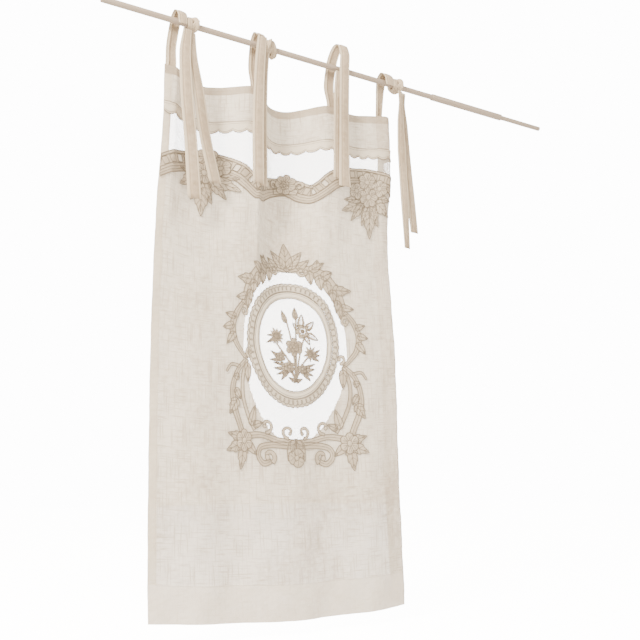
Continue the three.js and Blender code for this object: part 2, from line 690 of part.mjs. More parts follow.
// The bouquet: stems that spread from one foot, with flowers and leaves along them.
const BOUQUET = {
  stems: [
    { x: -52, y: 4, width: 4.5 },
    { x: -46, y: -34, width: 4.5 },
    { x: -18, y: 62, width: 4.5 },
    { x: 10, y: 74, width: 4.5 },
    { x: 40, y: 44, width: 4.5 },
    { x: 44, y: -22, width: 4.5 },
    { x: 4, y: -4, width: 5 },
    { x: -16, y: -52, width: 4.5 },
    { x: 22, y: -56, width: 4.5 },
  ],
  foot: { x: 4, y: -88 },
  bend: { x: 0.35, y: 0.55 },
  petals: { depth: 0.3, points: 2 },
  flowers: [
    { x: -44, y: 14, radius: 19, petals: 9 },
    { x: 0, y: -8, radius: 22, petals: 6 },
    { x: 42, y: -22, radius: 18, petals: 8 },
    { x: -34, y: -32, radius: 12, petals: 6 },
    { x: -13, y: -54, radius: 14, petals: 6 },
    { x: 20, y: -58, radius: 12, petals: 6 },
    { x: 22, y: 30, radius: 17, petals: 5 },
  ],
  leaves: [
    { footX: -18, footY: 48, tipX: -26, tipY: 78, width: 13 },
    { footX: 8, footY: 58, tipX: 8, tipY: 88, width: 15 },
    { footX: 20, footY: 38, tipX: 26, tipY: 70, width: 17 },
    { footX: 32, footY: 28, tipX: 54, tipY: 52, width: 17 },
    { footX: 34, footY: 20, tipX: 62, tipY: 8, width: 14 },
    { footX: -30, footY: 20, tipX: -70, tipY: -6, width: 11 },
    { footX: -34, footY: -36, tipX: -60, tipY: -22, width: 10 },
    { footX: -14, footY: -58, tipX: -52, tipY: -60, width: 10 },
    { footX: -16, footY: -62, tipX: -34, tipY: -86, width: 10 },
    { footX: 44, footY: -28, tipX: 68, tipY: -26, width: 11 },
    { footX: 24, footY: -62, tipX: 54, tipY: -58, width: 10 },
    { footX: 22, footY: -64, tipX: 42, tipY: -86, width: 10 },
    { footX: 4, footY: -88, tipX: -16, tipY: -78, width: 9 },
    { footX: 4, footY: -88, tipX: 22, tipY: -80, width: 9 },
  ],
};
function bouquetOutlines() {
  const { foot, bend, petals } = BOUQUET;
  const stems = BOUQUET.stems.map(({ x, y, width }) =>
    tape(
      [
        { ...foot, width },
        { x: THREE.MathUtils.lerp(foot.x, x, bend.x), y: THREE.MathUtils.lerp(foot.y, y, bend.y), width },
        { x, y, width },
      ],
      2,
    ),
  );
  const outlines = [
    ...stems,
    ...BOUQUET.flowers.map((row) => flower(at(row.x, row.y), row.radius, row.petals, petals.depth, petals.points)),
    ...leavesFrom(BOUQUET.leaves),
  ];
  return placeMotif(outlines.map(turnedOut), MEDALLION.across, MEDALLION.down);
}

const bandLower = (across) => {
  const phase = ((across / CLOTH.width) * BAND.scallops) % 1;
  return BAND.top + BAND.height + BAND.scallop * Math.sin(Math.PI * phase) ** BAND.fullness;
};

// Points along the border's lower edge, with the way up and across it at each.
function borderFrames() {
  const line = spread(BORDER_LINE[0].across, BORDER_LINE.at(-1).across, BORDER.samples).map((across) =>
    at(across, -readTable(BORDER_LINE, "across", "down", across)),
  );
  let length = 0;
  return line.map((point, n) => {
    if (n > 0) length += point.distanceTo(line[n - 1]);
    const along = new THREE.Vector2().subVectors(line[Math.min(n + 1, line.length - 1)], line[Math.max(n - 1, 0)]);
    return { point, up: at(-along.y, along.x).normalize(), length };
  });
}
const FRAMES = borderFrames();

// The flat place at a length along the border's lower edge and a height above it.
function onBorder(length, height) {
  const n = Math.min(FRAMES.length - 2, Math.max(0, FRAMES.findIndex((f) => f.length >= length) - 1));
  const [a, b] = [FRAMES[n], FRAMES[n + 1]];
  const t = THREE.MathUtils.clamp((length - a.length) / (b.length - a.length), 0, 1);
  const up = a.up.clone().lerp(b.up, t).normalize();
  return a.point.clone().lerp(b.point, t).addScaledVector(up, height);
}

const BORDER_HEIGHT = BORDER.ribbon + BORDER.windows + BORDER.cord;
const BORDER_LENGTHS = spread(0, FRAMES.at(-1).length, Math.round(FRAMES.at(-1).length / BORDER.step));
const BORDER_SPAN = (() => {
  const onPanel = FRAMES.filter(({ point }) => point.x > BORDER.end && point.x < CLOTH.width - BORDER.end);
  return { start: onPanel[0].length, length: onPanel.at(-1).length - onPanel[0].length };
})();

// A line along the border at a height above its lower edge, without the places where a tight valley doubles it up.
function borderLine(height) {
  let reached = -Infinity;
  return BORDER_LENGTHS.map((length) => onBorder(length, height)).filter((p) => {
    const isFurther = p.x > reached + BORDER.step / 4;
    if (isFurther) reached = p.x;
    return isFurther;
  });
}

// The flat outline of the net inset below the heading, drawn in by an inset on every side.
function headingOutline(inset) {
  const { left, right } = { left: HEM.side + inset, right: CLOTH.width - HEM.side - inset };
  const seamHeight = BORDER_HEIGHT - BORDER.cord;
  const inside = borderLine(seamHeight + inset).filter((p) => p.x > left + 1 && p.x < right - 1);
  const upper = -(BAND.top + BAND.height / 2 + inset);
  return [
    at(left, inside[0].y - HEADING_NET.cornerDip),
    ...inside,
    at(right, inside.at(-1).y - HEADING_NET.cornerDip),
    ...spread(right, left, HEADING_NET.topPoints).map((across) => at(across, upper)),
  ];
}

function linenPanel() {
  const whole = [at(0, -CLOTH.length), at(CLOTH.width, -CLOTH.length), at(CLOTH.width, 0), at(0, 0)];
  const cloth = prismOf(whole).subtract(prismOf(openingOutline(0))).subtract(prismOf(headingOutline(0)));
  return drape(facesOf(cloth), LAYER.linen);
}

function scallopedBand() {
  const places = spread(BAND.end, CLOTH.width - BAND.end, BAND.scallops * BAND.pointsPerScallop);
  const place = (i, j) => at(places[i], -(j === 0 ? BAND.top : bandLower(places[i])));
  return drape(stripFaces(places.length - 1, 1, place), LAYER.lace);
}

// The ladder border as one tape, open between every second pair of rungs.
function laceBorder() {
  const heights = [BORDER_HEIGHT, BORDER.ribbon + BORDER.windows, BORDER.ribbon, 0];
  const count = Math.floor(BORDER_SPAN.length / BORDER.pitch);
  const pitch = BORDER_SPAN.length / count;
  const solid = pitch - BORDER.windowWidth;
  const lengths = upTo(count).flatMap((n) => {
    const start = BORDER_SPAN.start + n * pitch;
    return [start, start + solid / 2, start + solid / 2 + BORDER.windowWidth];
  });
  lengths.push(BORDER_SPAN.start + BORDER_SPAN.length);
  const place = (i, j) => {
    const { x, y } = onBorder(lengths[i], heights[j]);
    return at(THREE.MathUtils.clamp(x, BORDER.end, CLOTH.width - BORDER.end), y);
  };
  const isWindow = (i, j) => {
    const { x } = onBorder(lengths[i], BORDER.ribbon);
    return i % 3 === 1 && j === 1 && x > HEM.side && !CLOSED_WINDOWS.some(({ from, to }) => x > from && x < to);
  };
  return drape(stripFaces(lengths.length - 1, heights.length - 1, place, isWindow), LAYER.lace);
}

// An oval ring whose section may change round it: each section lists reach from the centre and lift.
function ovalRing(width, height, steps, sectionAt) {
  const sections = spread(2 * Math.PI, 0, steps)
    .slice(0, -1)
    .map((angle) =>
      sectionAt(angle).map(({ reach, lift }) => {
        const x = MEDALLION.across + reach * width * Math.cos(angle);
        const y = reach * height * Math.sin(angle);
        return onCloth(x, MEDALLION.down - y, { front: lift }, "front");
      }),
    );
  return skinOver(sections, true);
}

function medallionWreath() {
  const { back, front } = LAYER.wreath;
  return ovalRing(WREATH.width, WREATH.height, WREATH.steps, (angle) => {
    const wave = Math.sin(WREATH.lobes * angle);
    const outer = 1 - (WREATH.scallop / WREATH.width) * (1 - Math.abs(Math.cos((WREATH.lobes * angle) / 2)));
    const middle = (outer + WREATH.inner) / 2 + WREATH.sway * wave;
    return [
      { reach: WREATH.inner, lift: back },
      { reach: outer, lift: back },
      { reach: outer, lift: front },
      { reach: middle, lift: front + WREATH.relief * (1 + 0.5 * wave) },
      { reach: WREATH.inner, lift: front },
    ];
  });
}

function medallionRing() {
  const { back, front } = LAYER.lace;
  return ovalRing(RING.width, RING.height, RING.steps, () => [
    { reach: RING.inner, lift: back },
    { reach: 1, lift: back },
    { reach: 1, lift: front },
    { reach: (1 + RING.inner) / 2, lift: front + RING.crown },
    { reach: RING.inner, lift: front },
  ]);
}

// A ribbon along a few places. face turns its flat side about the upright, in degrees.
const RIBBON = { thick: 1.2, cup: 1.2, stepsPerPlace: 2 };
function ribbon(rows) {
  const { thick, cup } = RIBBON;
  const line = new THREE.CatmullRomCurve3(rows.map(({ x, y, z }) => new THREE.Vector3(x, y, z)));
  const steps = RIBBON.stepsPerPlace * (rows.length - 1);
  const sections = spread(0, 1, steps).map((t) => {
    const place = t * (rows.length - 1);
    const n = Math.min(rows.length - 2, Math.floor(place));
    const between = (column) => THREE.MathUtils.lerp(rows[n][column], rows[n + 1][column], place - n);
    const turn = THREE.MathUtils.degToRad(between("face"));
    const wide = new THREE.Vector3(Math.cos(turn), Math.sin(turn), 0);
    const normal = line.getTangent(t).cross(wide).normalize();
    const half = between("width") / 2;
    const corner = (side, lift) => line.getPoint(t).addScaledVector(wide, side * half).addScaledVector(normal, lift);
    return [
      corner(-1, 0),
      corner(0, cup),
      corner(1, 0),
      corner(1, thick),
      corner(0, cup + thick),
      corner(-1, thick),
    ];
  });
  return skinOver(sections, false);
}

// A knot's section, as shares of its width and of its thickness, and how its lumps stand round the rod.
const KNOT_SECTION = [
  { side: -0.5, out: 0.15 },
  { side: -0.42, out: 0.8 },
  { side: -0.12, out: 1 },
  { side: 0.16, out: 0.86 },
  { side: 0.4, out: 1 },
  { side: 0.5, out: 0.3 },
  { side: 0.3, out: 0 },
  { side: -0.3, out: 0 },
];
const KNOT_LUMPS = { turned: 0.6, threefold: 0.15, steps: 16 };

// A knot wound round the rod: a ring that leans along it, thick where the ribbon crosses itself.
function knot({ x, width, lean, inner, outer, swell }) {
  const { turned: by, threefold, steps } = KNOT_LUMPS;
  const sections = spread(2 * Math.PI, 0, steps)
    .slice(0, -1)
    .map((angle) => {
      const lumps = 1 + swell * Math.cos(2 * angle - by) + threefold * Math.cos(3 * angle);
      const thick = (outer - inner) * lumps;
      return KNOT_SECTION.map(({ side, out }) => {
        const reach = inner + out * thick;
        const along = x + side * width + lean * Math.sin(angle);
        return new THREE.Vector3(along, reach * Math.cos(angle), reach * Math.sin(angle));
      });
    });
  return skinOver(sections, true);
}

// The ties' ribbons: each goes through these places. Straps are sewn behind the top hem, tails hang free in front.
const STRAPS = [
  [
    { x: 163, y: 2.4, z: -131, width: 25, face: 0 },
    { x: 164, y: 2.8, z: -104, width: 26, face: 0 },
    { x: 166, y: 12, z: -60, width: 25, face: 4 },
    { x: 171, y: 13, z: -14, width: 25, face: 2 },
    { x: 175, y: 11, z: 16, width: 25, face: 0 },
    { x: 178, y: 0, z: 27, width: 24, face: 0 },
    { x: 181, y: -12, z: 14, width: 23, face: 0 },
    { x: 183, y: -14, z: -10, width: 20, face: 0 },
  ],
  [
    { x: 373, y: 2.4, z: -129, width: 25, face: 0 },
    { x: 373, y: 2.8, z: -103, width: 26, face: 0 },
    { x: 371, y: 12, z: -60, width: 26, face: 0 },
    { x: 373, y: 13, z: -14, width: 26, face: 0 },
    { x: 376, y: 11, z: 18, width: 26, face: 0 },
    { x: 378, y: 0, z: 31, width: 26, face: 0 },
    { x: 380, y: -11, z: 20, width: 24, face: 0 },
  ],
  [
    { x: 584, y: 3.6, z: -126, width: 25, face: 0 },
    { x: 584, y: 3.8, z: -100, width: 26, face: 0 },
    { x: 582, y: 12, z: -55, width: 30, face: 0 },
    { x: 587, y: 14, z: -8, width: 29, face: 0 },
    { x: 595, y: 12, z: 36, width: 28, face: -6 },
    { x: 606, y: 5, z: 66, width: 27, face: -6 },
  ],
  [
    { x: 746, y: 31, z: -110, width: 18, face: 0 },
    { x: 746, y: 30, z: -84, width: 20, face: 0 },
    { x: 743, y: 22, z: -48, width: 24, face: 4 },
    { x: 740, y: 13, z: -12, width: 27, face: 2 },
    { x: 744, y: 11, z: 15, width: 30, face: 0 },
    { x: 748, y: 0, z: 26, width: 30, face: 0 },
    { x: 751, y: -12, z: 13, width: 28, face: 0 },
    { x: 753, y: -14, z: -10, width: 24, face: 0 },
  ],
];
const TAILS = [
  {
    a: [
      { x: 192, y: -19, z: -24, width: 20, face: 0 },
      { x: 188, y: -20, z: -80, width: 27, face: 0 },
      { x: 194, y: -22, z: -173, width: 29, face: -4 },
      { x: 207, y: -24, z: -292, width: 29, face: -6 },
      { x: 220, y: -25, z: -424, width: 30, face: -8 },
    ],
    b: [
      { x: 204, y: -14, z: -27, width: 18, face: 0 },
      { x: 206, y: -15, z: -80, width: 26, face: 4 },
      { x: 224, y: -16, z: -165, width: 29, face: 6 },
      { x: 245, y: -17, z: -280, width: 30, face: 8 },
      { x: 270, y: -18, z: -376, width: 31, face: 10 },
    ],
  },
  {
    a: [
      { x: 379, y: -20, z: 14, width: 24, face: 0 },
      { x: 374, y: -21, z: -48, width: 26, face: 0 },
      { x: 371, y: -22, z: -150, width: 27, face: -4 },
      { x: 371, y: -23, z: -262, width: 28, face: -4 },
      { x: 373, y: -24, z: -358, width: 28, face: 0 },
    ],
    b: [
      { x: 390, y: -14, z: -22, width: 22, face: 0 },
      { x: 385, y: -15, z: -60, width: 26, face: 0 },
      { x: 383, y: -16, z: -150, width: 27, face: 4 },
      { x: 384, y: -16, z: -262, width: 28, face: 4 },
      { x: 386, y: -16, z: -360, width: 28, face: 2 },
    ],
  },
  {
    a: [
      { x: 612, y: -1, z: 69, width: 27, face: -6 },
      { x: 615, y: -11, z: 44, width: 28, face: -4 },
      { x: 612, y: -15, z: 0, width: 28, face: 0 },
      { x: 609, y: -18, z: -100, width: 29, face: 4 },
      { x: 607, y: -20, z: -210, width: 29, face: 2 },
      { x: 606, y: -21, z: -288, width: 30, face: 0 },
      { x: 606, y: -24, z: -322, width: 34, face: 0 },
    ],
    b: [
      { x: 600, y: -11.5, z: -12, width: 24, face: 0 },
      { x: 596, y: -12.5, z: -60, width: 26, face: 0 },
      { x: 594, y: -13, z: -150, width: 26, face: 2 },
      { x: 593, y: -14, z: -240, width: 27, face: 0 },
      { x: 592, y: -15, z: -300, width: 27, face: 0 },
    ],
  },
  {
    a: [
      { x: 780, y: -20, z: -23, width: 15, face: 30 },
      { x: 781, y: -20, z: -56, width: 13, face: 55 },
      { x: 779, y: -21, z: -110, width: 24, face: 20 },
      { x: 780, y: -22, z: -190, width: 28, face: 6 },
      { x: 784, y: -23, z: -310, width: 25, face: 14 },
      { x: 789, y: -24, z: -452, width: 20, face: 24 },
    ],
    b: [
      { x: 797, y: -12, z: -22, width: 14, face: 40 },
      { x: 796, y: -12, z: -56, width: 12, face: 60 },
      { x: 800, y: -12, z: -110, width: 19, face: 36 },
      { x: 804, y: -12, z: -200, width: 26, face: 16 },
      { x: 812, y: -13, z: -310, width: 27, face: 12 },
      { x: 820, y: -14, z: -404, width: 27, face: 10 },
    ],
  },
];
// The knot of the third tie doesn't show: its ribbon goes over the rod in a high loop.
const KNOTS = [
  { tie: 1, x: 208, width: 22, lean: -3, inner: 9.2, outer: 19, swell: 0.3 },
  { tie: 2, x: 406, width: 28, lean: 3, inner: 9.2, outer: 23, swell: 0.22 },
  { tie: 4, x: 780, width: 24, lean: -3, inner: 9.2, outer: 20, swell: 0.25 },
];

const root = new THREE.Group();

function addPiece(name, geometry, finish) {
  const mesh = new THREE.Mesh(geometry, new THREE.MeshStandardMaterial({ ...COLOURS[finish], flatShading: true }));
  mesh.name = name;
  root.add(mesh);
  return mesh;
}

// A round piece turned about the rod's axis, from rows of place along the rod and radius.
function turned(rows) {
  const geometry = new THREE.LatheGeometry(rows.map(({ along, radius }) => at(radius, along)), ROD.sides);
  return geometry.rotateZ(-Math.PI / 2);
}

function addRod() {
  const { chamfer, radius } = ROD;
  addPiece(
    "rod_tube",
    turned([
      { along: 0, radius: 0 },
      { along: 0, radius: radius - chamfer },
      { along: chamfer, radius },
      { along: THIN_END.from - GAP, radius },
      { along: THIN_END.from - GAP, radius: 0 },
    ]),
    "rod",
  );
  const sleeveInner = radius + GAP;
  const lipInner = THIN_END.radius + GAP;
  addPiece(
    "rod_sleeve",
    turned([
      { along: SLEEVE.from, radius: sleeveInner },
      { along: SLEEVE.from, radius: SLEEVE.radius - chamfer },
      { along: SLEEVE.from + chamfer, radius: SLEEVE.radius },
      { along: SLEEVE.to - chamfer, radius: SLEEVE.radius },
      { along: SLEEVE.to, radius: SLEEVE.radius - chamfer },
      { along: SLEEVE.to, radius: lipInner },
      { along: THIN_END.from, radius: lipInner },
      { along: THIN_END.from, radius: sleeveInner },
      { along: SLEEVE.from, radius: sleeveInner },
    ]),
    "rod",
  );
  addPiece(
    "rod_end",
    turned([
      { along: THIN_END.from, radius: 0 },
      { along: THIN_END.from, radius: THIN_END.radius },
      { along: ROD.length - chamfer, radius: THIN_END.radius },
      { along: ROD.length, radius: THIN_END.radius - chamfer },
      { along: ROD.length, radius: 0 },
    ]),
    "rod",
  );
}

function addPanel() {
  addPiece("linen_panel", linenPanel(), "linen");
  addPiece("net_heading", pieceOf([headingOutline(SEAM_GAP)], LAYER.net), "net");
  addPiece("net_medallion", pieceOf([openingOutline(SEAM_GAP)], LAYER.net), "net");
}

function addLace() {
  const leftSpray = placeMotif(sprayOutlines(), SPRAY.leftAcross, SPRAY.down);
  const rightSpray = placeMotif(sprayOutlines(), CLOTH.width - SPRAY.leftAcross, SPRAY.down, true);
  const shell = placeMotif(shellOutlines(), SHELL.across, SHELL.down);
  addPiece("scalloped_band", scallopedBand(), "lace");
  addPiece("lace_border", laceBorder(), "lace");
  addPiece("spray_left", pieceOf(leftSpray.map(turnedOut), LAYER.spray), "lace");
  addPiece("spray_right", pieceOf(rightSpray.map(turnedOut), LAYER.spray), "lace");
  addPiece("border_flower", pieceOf(shell.map(turnedOut), LAYER.spray), "lace");
  addPiece("medallion_frame", pieceOf(medallionFrameOutlines(), LAYER.lace), "lace");
  addPiece("medallion_wreath", medallionWreath(), "lace");
  addPiece("medallion_ring", medallionRing(), "lace");
  addPiece("bouquet", pieceOf(bouquetOutlines(), LAYER.bouquet), "embroidery");
}

function addTies() {
  STRAPS.forEach((rows, n) => addPiece(`tie_${n + 1}_strap`, ribbon(rows), "ribbon"));
  TAILS.forEach(({ a, b }, n) => {
    addPiece(`tie_${n + 1}_tail_a`, ribbon(a), "ribbon");
    addPiece(`tie_${n + 1}_tail_b`, ribbon(b), "ribbon");
  });
  KNOTS.forEach((row) => addPiece(`tie_${row.tie}_knot`, knot(row), "ribbon"));
}

addRod();
addPanel();
addLace();
addTies();

export default root;
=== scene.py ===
"""A net curtain hung by four ties from a plain rod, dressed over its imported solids.

Tables are in millimetres and meshes in metres. X runs along the rod, Y away from the viewer and Z up.
Places of the cloth are given flat, as cut: across from the left edge and down from the top edge.
"""

import sys

import logging
import math
from dataclasses import dataclass, field
from enum import Enum
from typing import Callable, Sequence

import bpy
import numpy as np
from mathutils import Matrix


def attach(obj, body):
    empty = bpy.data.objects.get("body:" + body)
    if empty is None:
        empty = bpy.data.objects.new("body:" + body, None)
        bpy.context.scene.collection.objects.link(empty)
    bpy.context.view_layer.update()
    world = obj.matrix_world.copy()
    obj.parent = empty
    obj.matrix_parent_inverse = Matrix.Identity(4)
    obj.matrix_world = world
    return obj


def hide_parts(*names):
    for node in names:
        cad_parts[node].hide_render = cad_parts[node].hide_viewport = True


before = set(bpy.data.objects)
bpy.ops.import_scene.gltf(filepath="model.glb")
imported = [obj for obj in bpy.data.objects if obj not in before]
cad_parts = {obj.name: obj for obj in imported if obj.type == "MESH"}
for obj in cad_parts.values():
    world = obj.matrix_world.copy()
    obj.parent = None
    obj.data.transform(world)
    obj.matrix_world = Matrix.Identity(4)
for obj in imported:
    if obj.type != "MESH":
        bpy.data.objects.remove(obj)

MM = 0.001
Row = tuple[float, ...]
Array = np.ndarray
Piece = bpy.types.Object
Material = bpy.types.Material
Tree = bpy.types.NodeTree
Node = bpy.types.Node
Socket = bpy.types.NodeSocket
log = logging.getLogger("net_curtain")


def smoothstep(value: Array, low: float, high: float) -> Array:
    """A soft step from 0 at low to 1 at high: 3 t squared less 2 t cubed."""
    t = np.clip((value - low) / (high - low), 0, 1)
    return t * t * (3 - 2 * t)


def read_table(rows: Sequence[Row], column: int, at: Array) -> Array:
    """Reads a column of a table on a smooth curve through its rows.

    Between two rows it is the cubic whose slope at each row is that of the line through the row's neighbours.

    Args:
        rows: The table, with its key in the first column.
        column: The column to read.
        at: The keys to read at.

    Returns:
        The values, in the shape of at.
    """
    table = np.asarray(rows, float)
    keys, values = table[:, 0], table[:, column]
    before = np.maximum(np.arange(len(keys)) - 1, 0)
    after = np.minimum(np.arange(len(keys)) + 1, len(keys) - 1)
    slopes = (values[after] - values[before]) / (keys[after] - keys[before])
    i = np.clip(np.searchsorted(keys, at) - 1, 0, len(keys) - 2)
    span = keys[i + 1] - keys[i]
    t = np.clip((at - keys[i]) / span, 0, 1)
    start = values[i] * (1 + 2 * t) * (1 - t) ** 2 + slopes[i] * span * t * (1 - t) ** 2
    return start + values[i + 1] * (3 - 2 * t) * t**2 - slopes[i + 1] * span * (1 - t) * t**2


def cubic(p1: Array, p2: Array, m1: Array, m2: Array, w: Array) -> Array:
    """The cubic from p1 with slope m1 to p2 with slope m2, at shares w of the way."""
    return p1 + m1 * w + (3 * (p2 - p1) - 2 * m1 - m2) * w**2 + (2 * (p1 - p2) + m1 + m2) * w**3


def spline(rows: Sequence[Row], steps: int) -> Array:
    """A smooth line through rows of any columns, with the same number of steps between each two.

    Each stretch is the cubic whose slopes at its ends are half the way between the neighbouring rows.

    Args:
        rows: The places, with further columns such as a width.
        steps: The number of steps in a stretch.

    Returns:
        An array with a row for each point of the line.
    """
    p = np.asarray(rows, float)
    t = np.linspace(0, len(p) - 1, steps * (len(p) - 1) + 1)
    i = np.minimum(t.astype(int), len(p) - 2)
    w = (t - i)[:, None]
    p0, p1, p2, p3 = p[np.maximum(i - 1, 0)], p[i], p[i + 1], p[np.minimum(i + 2, len(p) - 1)]
    return cubic(p1, p2, (p2 - p0) / 2, (p3 - p1) / 2, w)


def unit(vectors: Array) -> Array:
    """The vectors at length one."""
    return vectors / np.maximum(np.linalg.norm(vectors, axis=-1, keepdims=True), 1e-9)


def length_along(line: Array) -> Array:
    """The length of a line so far, at each of its points."""
    return np.concatenate([[0], np.cumsum(np.linalg.norm(np.diff(line, axis=0), axis=1))])


def grid_faces(rows: int, columns: int, is_round: bool = False, is_ring: bool = False) -> Array:
    """Four-cornered faces of a grid of points that are numbered row by row.

    Args:
        rows: The number of rows.
        columns: The number of points in a row.
        is_round: Whether each row closes on itself.
        is_ring: Whether the last row joins the first.

    Returns:
        The corners of each face.
    """
    i = np.arange(rows if is_ring else rows - 1)[:, None]
    j = np.arange(columns if is_round else columns - 1)[None, :]
    below, right = (i + 1) % rows, (j + 1) % columns
    corners = [i * columns + j, i * columns + right, below * columns + right, below * columns + j]
    return np.stack(corners, -1).reshape(-1, 4)


@dataclass
class Patch:
    """A part of a mesh: its points, its faces (three-cornered ones end with -1), flat places and marks."""

    points: Array
    faces: Array
    flat: Array
    marks: dict[str, float | Array] = field(default_factory=dict)


def mesh_of(name: str, patches: Sequence[Patch]) -> Piece:
    """Joins patches in one smooth mesh, with their flat places as its UV map in metres.

    Args:
        name: The object's name.
        patches: The parts, in millimetres.

    Returns:
        The object, linked to the scene at the origin.
    """
    sizes = [len(patch.points) for patch in patches]
    starts = np.cumsum([0, *sizes[:-1]])
    points = np.concatenate([patch.points for patch in patches]) * MM
    flat = np.concatenate([patch.flat for patch in patches]) * MM
    shifted = [np.where(patch.faces >= 0, patch.faces + at, -1) for patch, at in zip(patches, starts)]
    faces = np.concatenate(shifted)
    corners = faces.ravel()[faces.ravel() >= 0]
    counts = np.where(faces[:, 3] >= 0, 4, 3)
    mesh = bpy.data.meshes.new(name)
    mesh.vertices.add(len(points))
    mesh.vertices.foreach_set("co", points.astype(np.float32).ravel())
    mesh.loops.add(len(corners))
    mesh.loops.foreach_set("vertex_index", corners.astype(np.int32))
    mesh.polygons.add(len(faces))
    mesh.polygons.foreach_set("loop_start", (np.cumsum(counts) - counts).astype(np.int32))
    mesh.polygons.foreach_set("use_smooth", np.ones(len(faces), bool))
    layer = mesh.uv_layers.new(name="UVMap")
    layer.data.foreach_set("uv", flat[corners].astype(np.float32).ravel())
    for mark in sorted({key for patch in patches for key in patch.marks}):
        values = [np.broadcast_to(patch.marks.get(mark, 0.0), size) for patch, size in zip(patches, sizes)]
        attribute = mesh.attributes.new(mark, "FLOAT", "POINT")
        attribute.data.foreach_set("value", np.concatenate(values).astype(np.float32))
    mesh.update(calc_edges=True)
    piece = bpy.data.objects.new(name, mesh)
    bpy.context.scene.collection.objects.link(piece)
    return piece


class Slot(Enum):
    """The pieces' slots, one for each kind of finish."""

    LINEN = "linen"
    NET = "net"
    LACE = "lace"
    EMBROIDERY = "embroidery"
    RIBBON = "ribbon"
    ROD = "rod"


def settle(piece: Piece, material: Material, slot: Slot, *nodes: str) -> Piece:
    """Gives a piece its material and its body, and hides the solids that it stands for.

    Args:
        piece: The new piece.
        material: Its finish.
        slot: Not used.
        nodes: The solids that it replaces.

    Returns:
        The piece.
    """
    piece.data.materials.append(material)
    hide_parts(*nodes)
    log.info("%s: %d faces", piece.name, len(piece.data.polygons))
    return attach(piece, "root")


